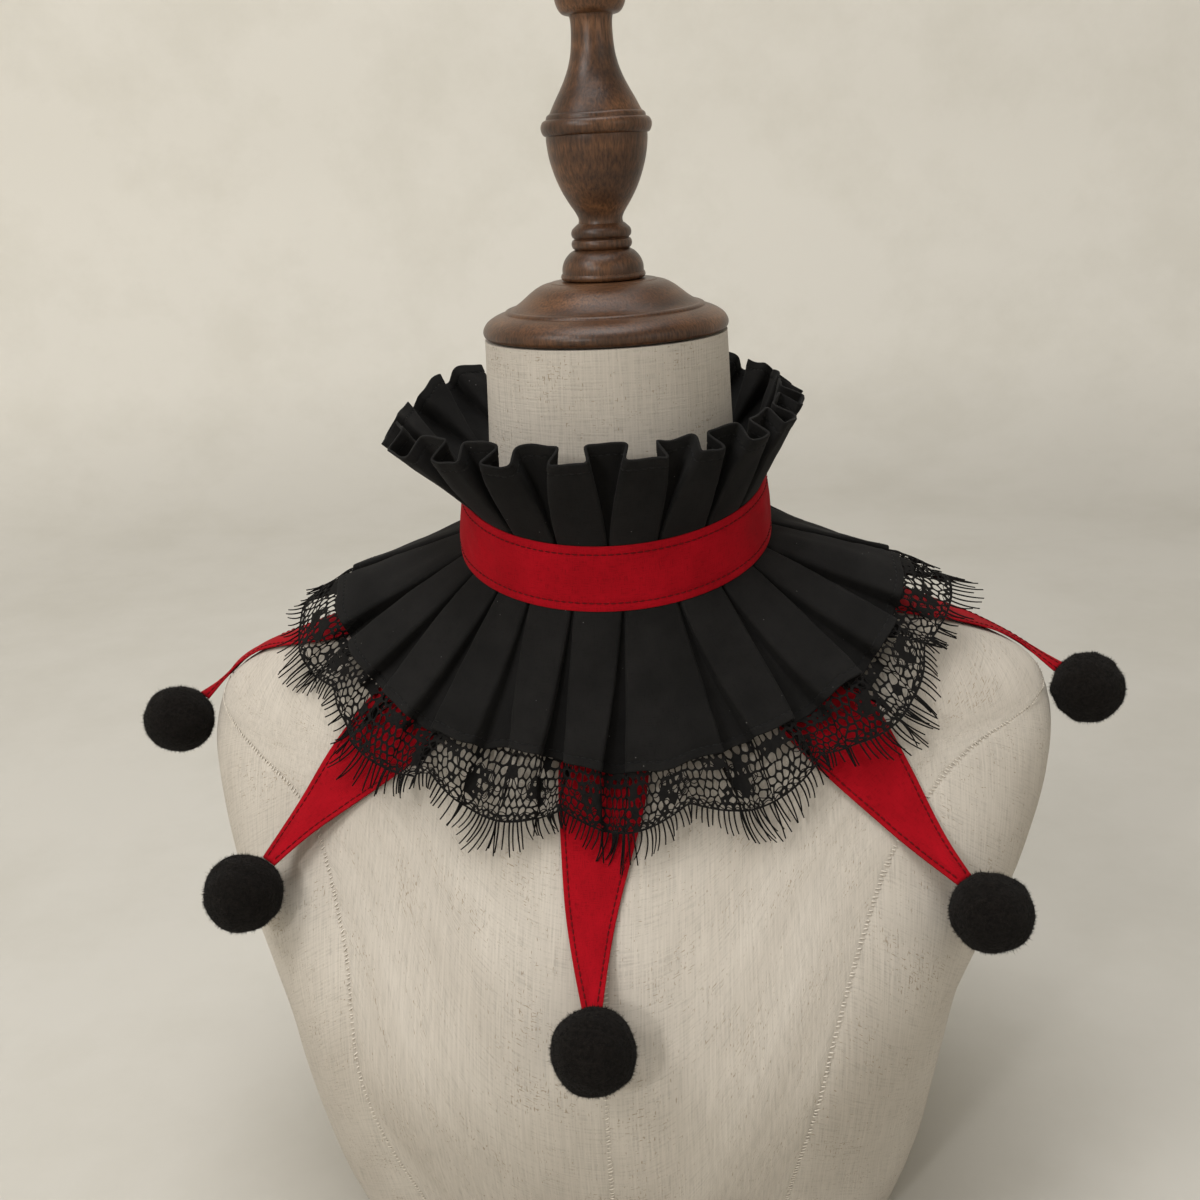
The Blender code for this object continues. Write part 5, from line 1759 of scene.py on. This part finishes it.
def make_camera():
    forward = Vector((-math.sin(CAMERA_YAW), math.cos(CAMERA_YAW), 0.0))
    level = Vector((math.cos(CAMERA_YAW), math.sin(CAMERA_YAW), 0.0))
    up = Vector((0.0, 0.0, 1.0))
    ahead = forward * math.cos(CAMERA_PITCH) - up * math.sin(CAMERA_PITCH)
    top = up * math.cos(CAMERA_PITCH) + forward * math.sin(CAMERA_PITCH)
    right = level * math.cos(CAMERA_ROLL) + top * math.sin(CAMERA_ROLL)
    above = top * math.cos(CAMERA_ROLL) - level * math.sin(CAMERA_ROLL)
    data = bpy.data.cameras.new("camera")
    data.lens = CAMERA_LENS
    data.sensor_width = CAMERA_SENSOR
    data.clip_start = 0.01
    data.clip_end = 50.0
    camera = bpy.data.objects.new("camera", data)
    turn = Matrix((right, above, -ahead)).transposed().to_4x4()
    camera.matrix_world = Matrix.Translation(CAMERA_PLACE) @ turn
    bpy.context.scene.collection.objects.link(camera)
    bpy.context.scene.camera = camera


def make_lights():
    for name, spot, aim, size, power, colour in LIGHTS:
        data = bpy.data.lights.new(name, "AREA")
        data.shape = "DISK"
        data.size = size
        data.energy = power
        data.color = colour
        lamp = bpy.data.objects.new(name, data)
        lamp.location = spot
        lamp.rotation_euler = (Vector(aim) - Vector(spot)).to_track_quat("-Z", "Y").to_euler()
        bpy.context.scene.collection.objects.link(lamp)
    world = bpy.data.worlds.new("room")
    world.use_nodes = True
    background = world.node_tree.nodes["Background"]
    background.inputs["Color"].default_value = (*WORLD_COLOUR, 1.0)
    background.inputs["Strength"].default_value = WORLD_STRENGTH
    bpy.context.scene.world = world
    bpy.context.scene.view_settings.view_transform = "Standard"


def make_backdrop():
    """A pale floor that curves up into a round wall, wide enough for a camera on any side."""
    profile = [(0.0, -FLOOR_DROP), (BOWL_FLAT * 0.5, -FLOOR_DROP), (BOWL_FLAT, -FLOOR_DROP)]
    for step in range(1, BOWL_STEPS + 1):
        angle = math.radians(90 * step / BOWL_STEPS)
        height = BOWL_CURVE * (1 - math.cos(angle)) - FLOOR_DROP
        profile.append((BOWL_FLAT + BOWL_CURVE * math.sin(angle), height))
    profile.append((BOWL_FLAT + BOWL_CURVE, BOWL_HEIGHT))
    points, faces = [(0.0, 0.0, -FLOOR_DROP)], []
    for radius, height in profile[1:]:
        for side in range(BOWL_SIDES):
            angle = 2 * math.pi * side / BOWL_SIDES
            points.append((radius * math.cos(angle), radius * math.sin(angle), height))
    for side in range(BOWL_SIDES):
        following = (side + 1) % BOWL_SIDES
        faces.append((0, 1 + side, 1 + following))
        for ring in range(len(profile) - 2):
            low, high = 1 + ring * BOWL_SIDES, 1 + (ring + 1) * BOWL_SIDES
            faces.append((low + side, high + side, high + following, low + following))
    mesh = bpy.data.meshes.new("backdrop")
    mesh.from_pydata(points, [], faces)
    mesh.shade_smooth()
    mesh.materials.append(wall_material())
    backdrop = bpy.data.objects.new("backdrop", mesh)
    bpy.context.scene.collection.objects.link(backdrop)


def main():
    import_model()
    make_camera()
    make_lights()
    make_backdrop()
    make_form()
    make_turned("turned_cap", CAP_RUNS, ("neck_cap",))
    make_turned("turned_finial", FINIAL_RUNS, ("finial",))
    make_band()
    for name, ruff in RUFFS.items():
        make_ruff(name, ruff)
    along, shares, surface = lace_surface()
    cut = round(len(along) * LACE_LEFT_PLEATS / len(LOWER_PLEATS))
    halves = (("left", slice(0, cut + 1)), ("right", slice(cut, None)))
    for seed, (half, columns) in enumerate(halves):
        lace = (along[columns] - along[columns][0], shares, surface[:, columns])
        make_lace(f"net_{half}", f"lace_{half}", lace, seed)
        make_cords(f"net_{half}_cords", lace)
        make_lashes(f"eyelashes_{half}", f"lashes_{half}", lace, seed)
    for seed, (name, neck_azimuth, last_azimuth, last_height, x, y, height) in enumerate(POINTS):
        make_point(name, neck_azimuth, last_azimuth, last_height, (x, y, height), seed)
        make_pompom(name, (x, y, height), seed)


main()
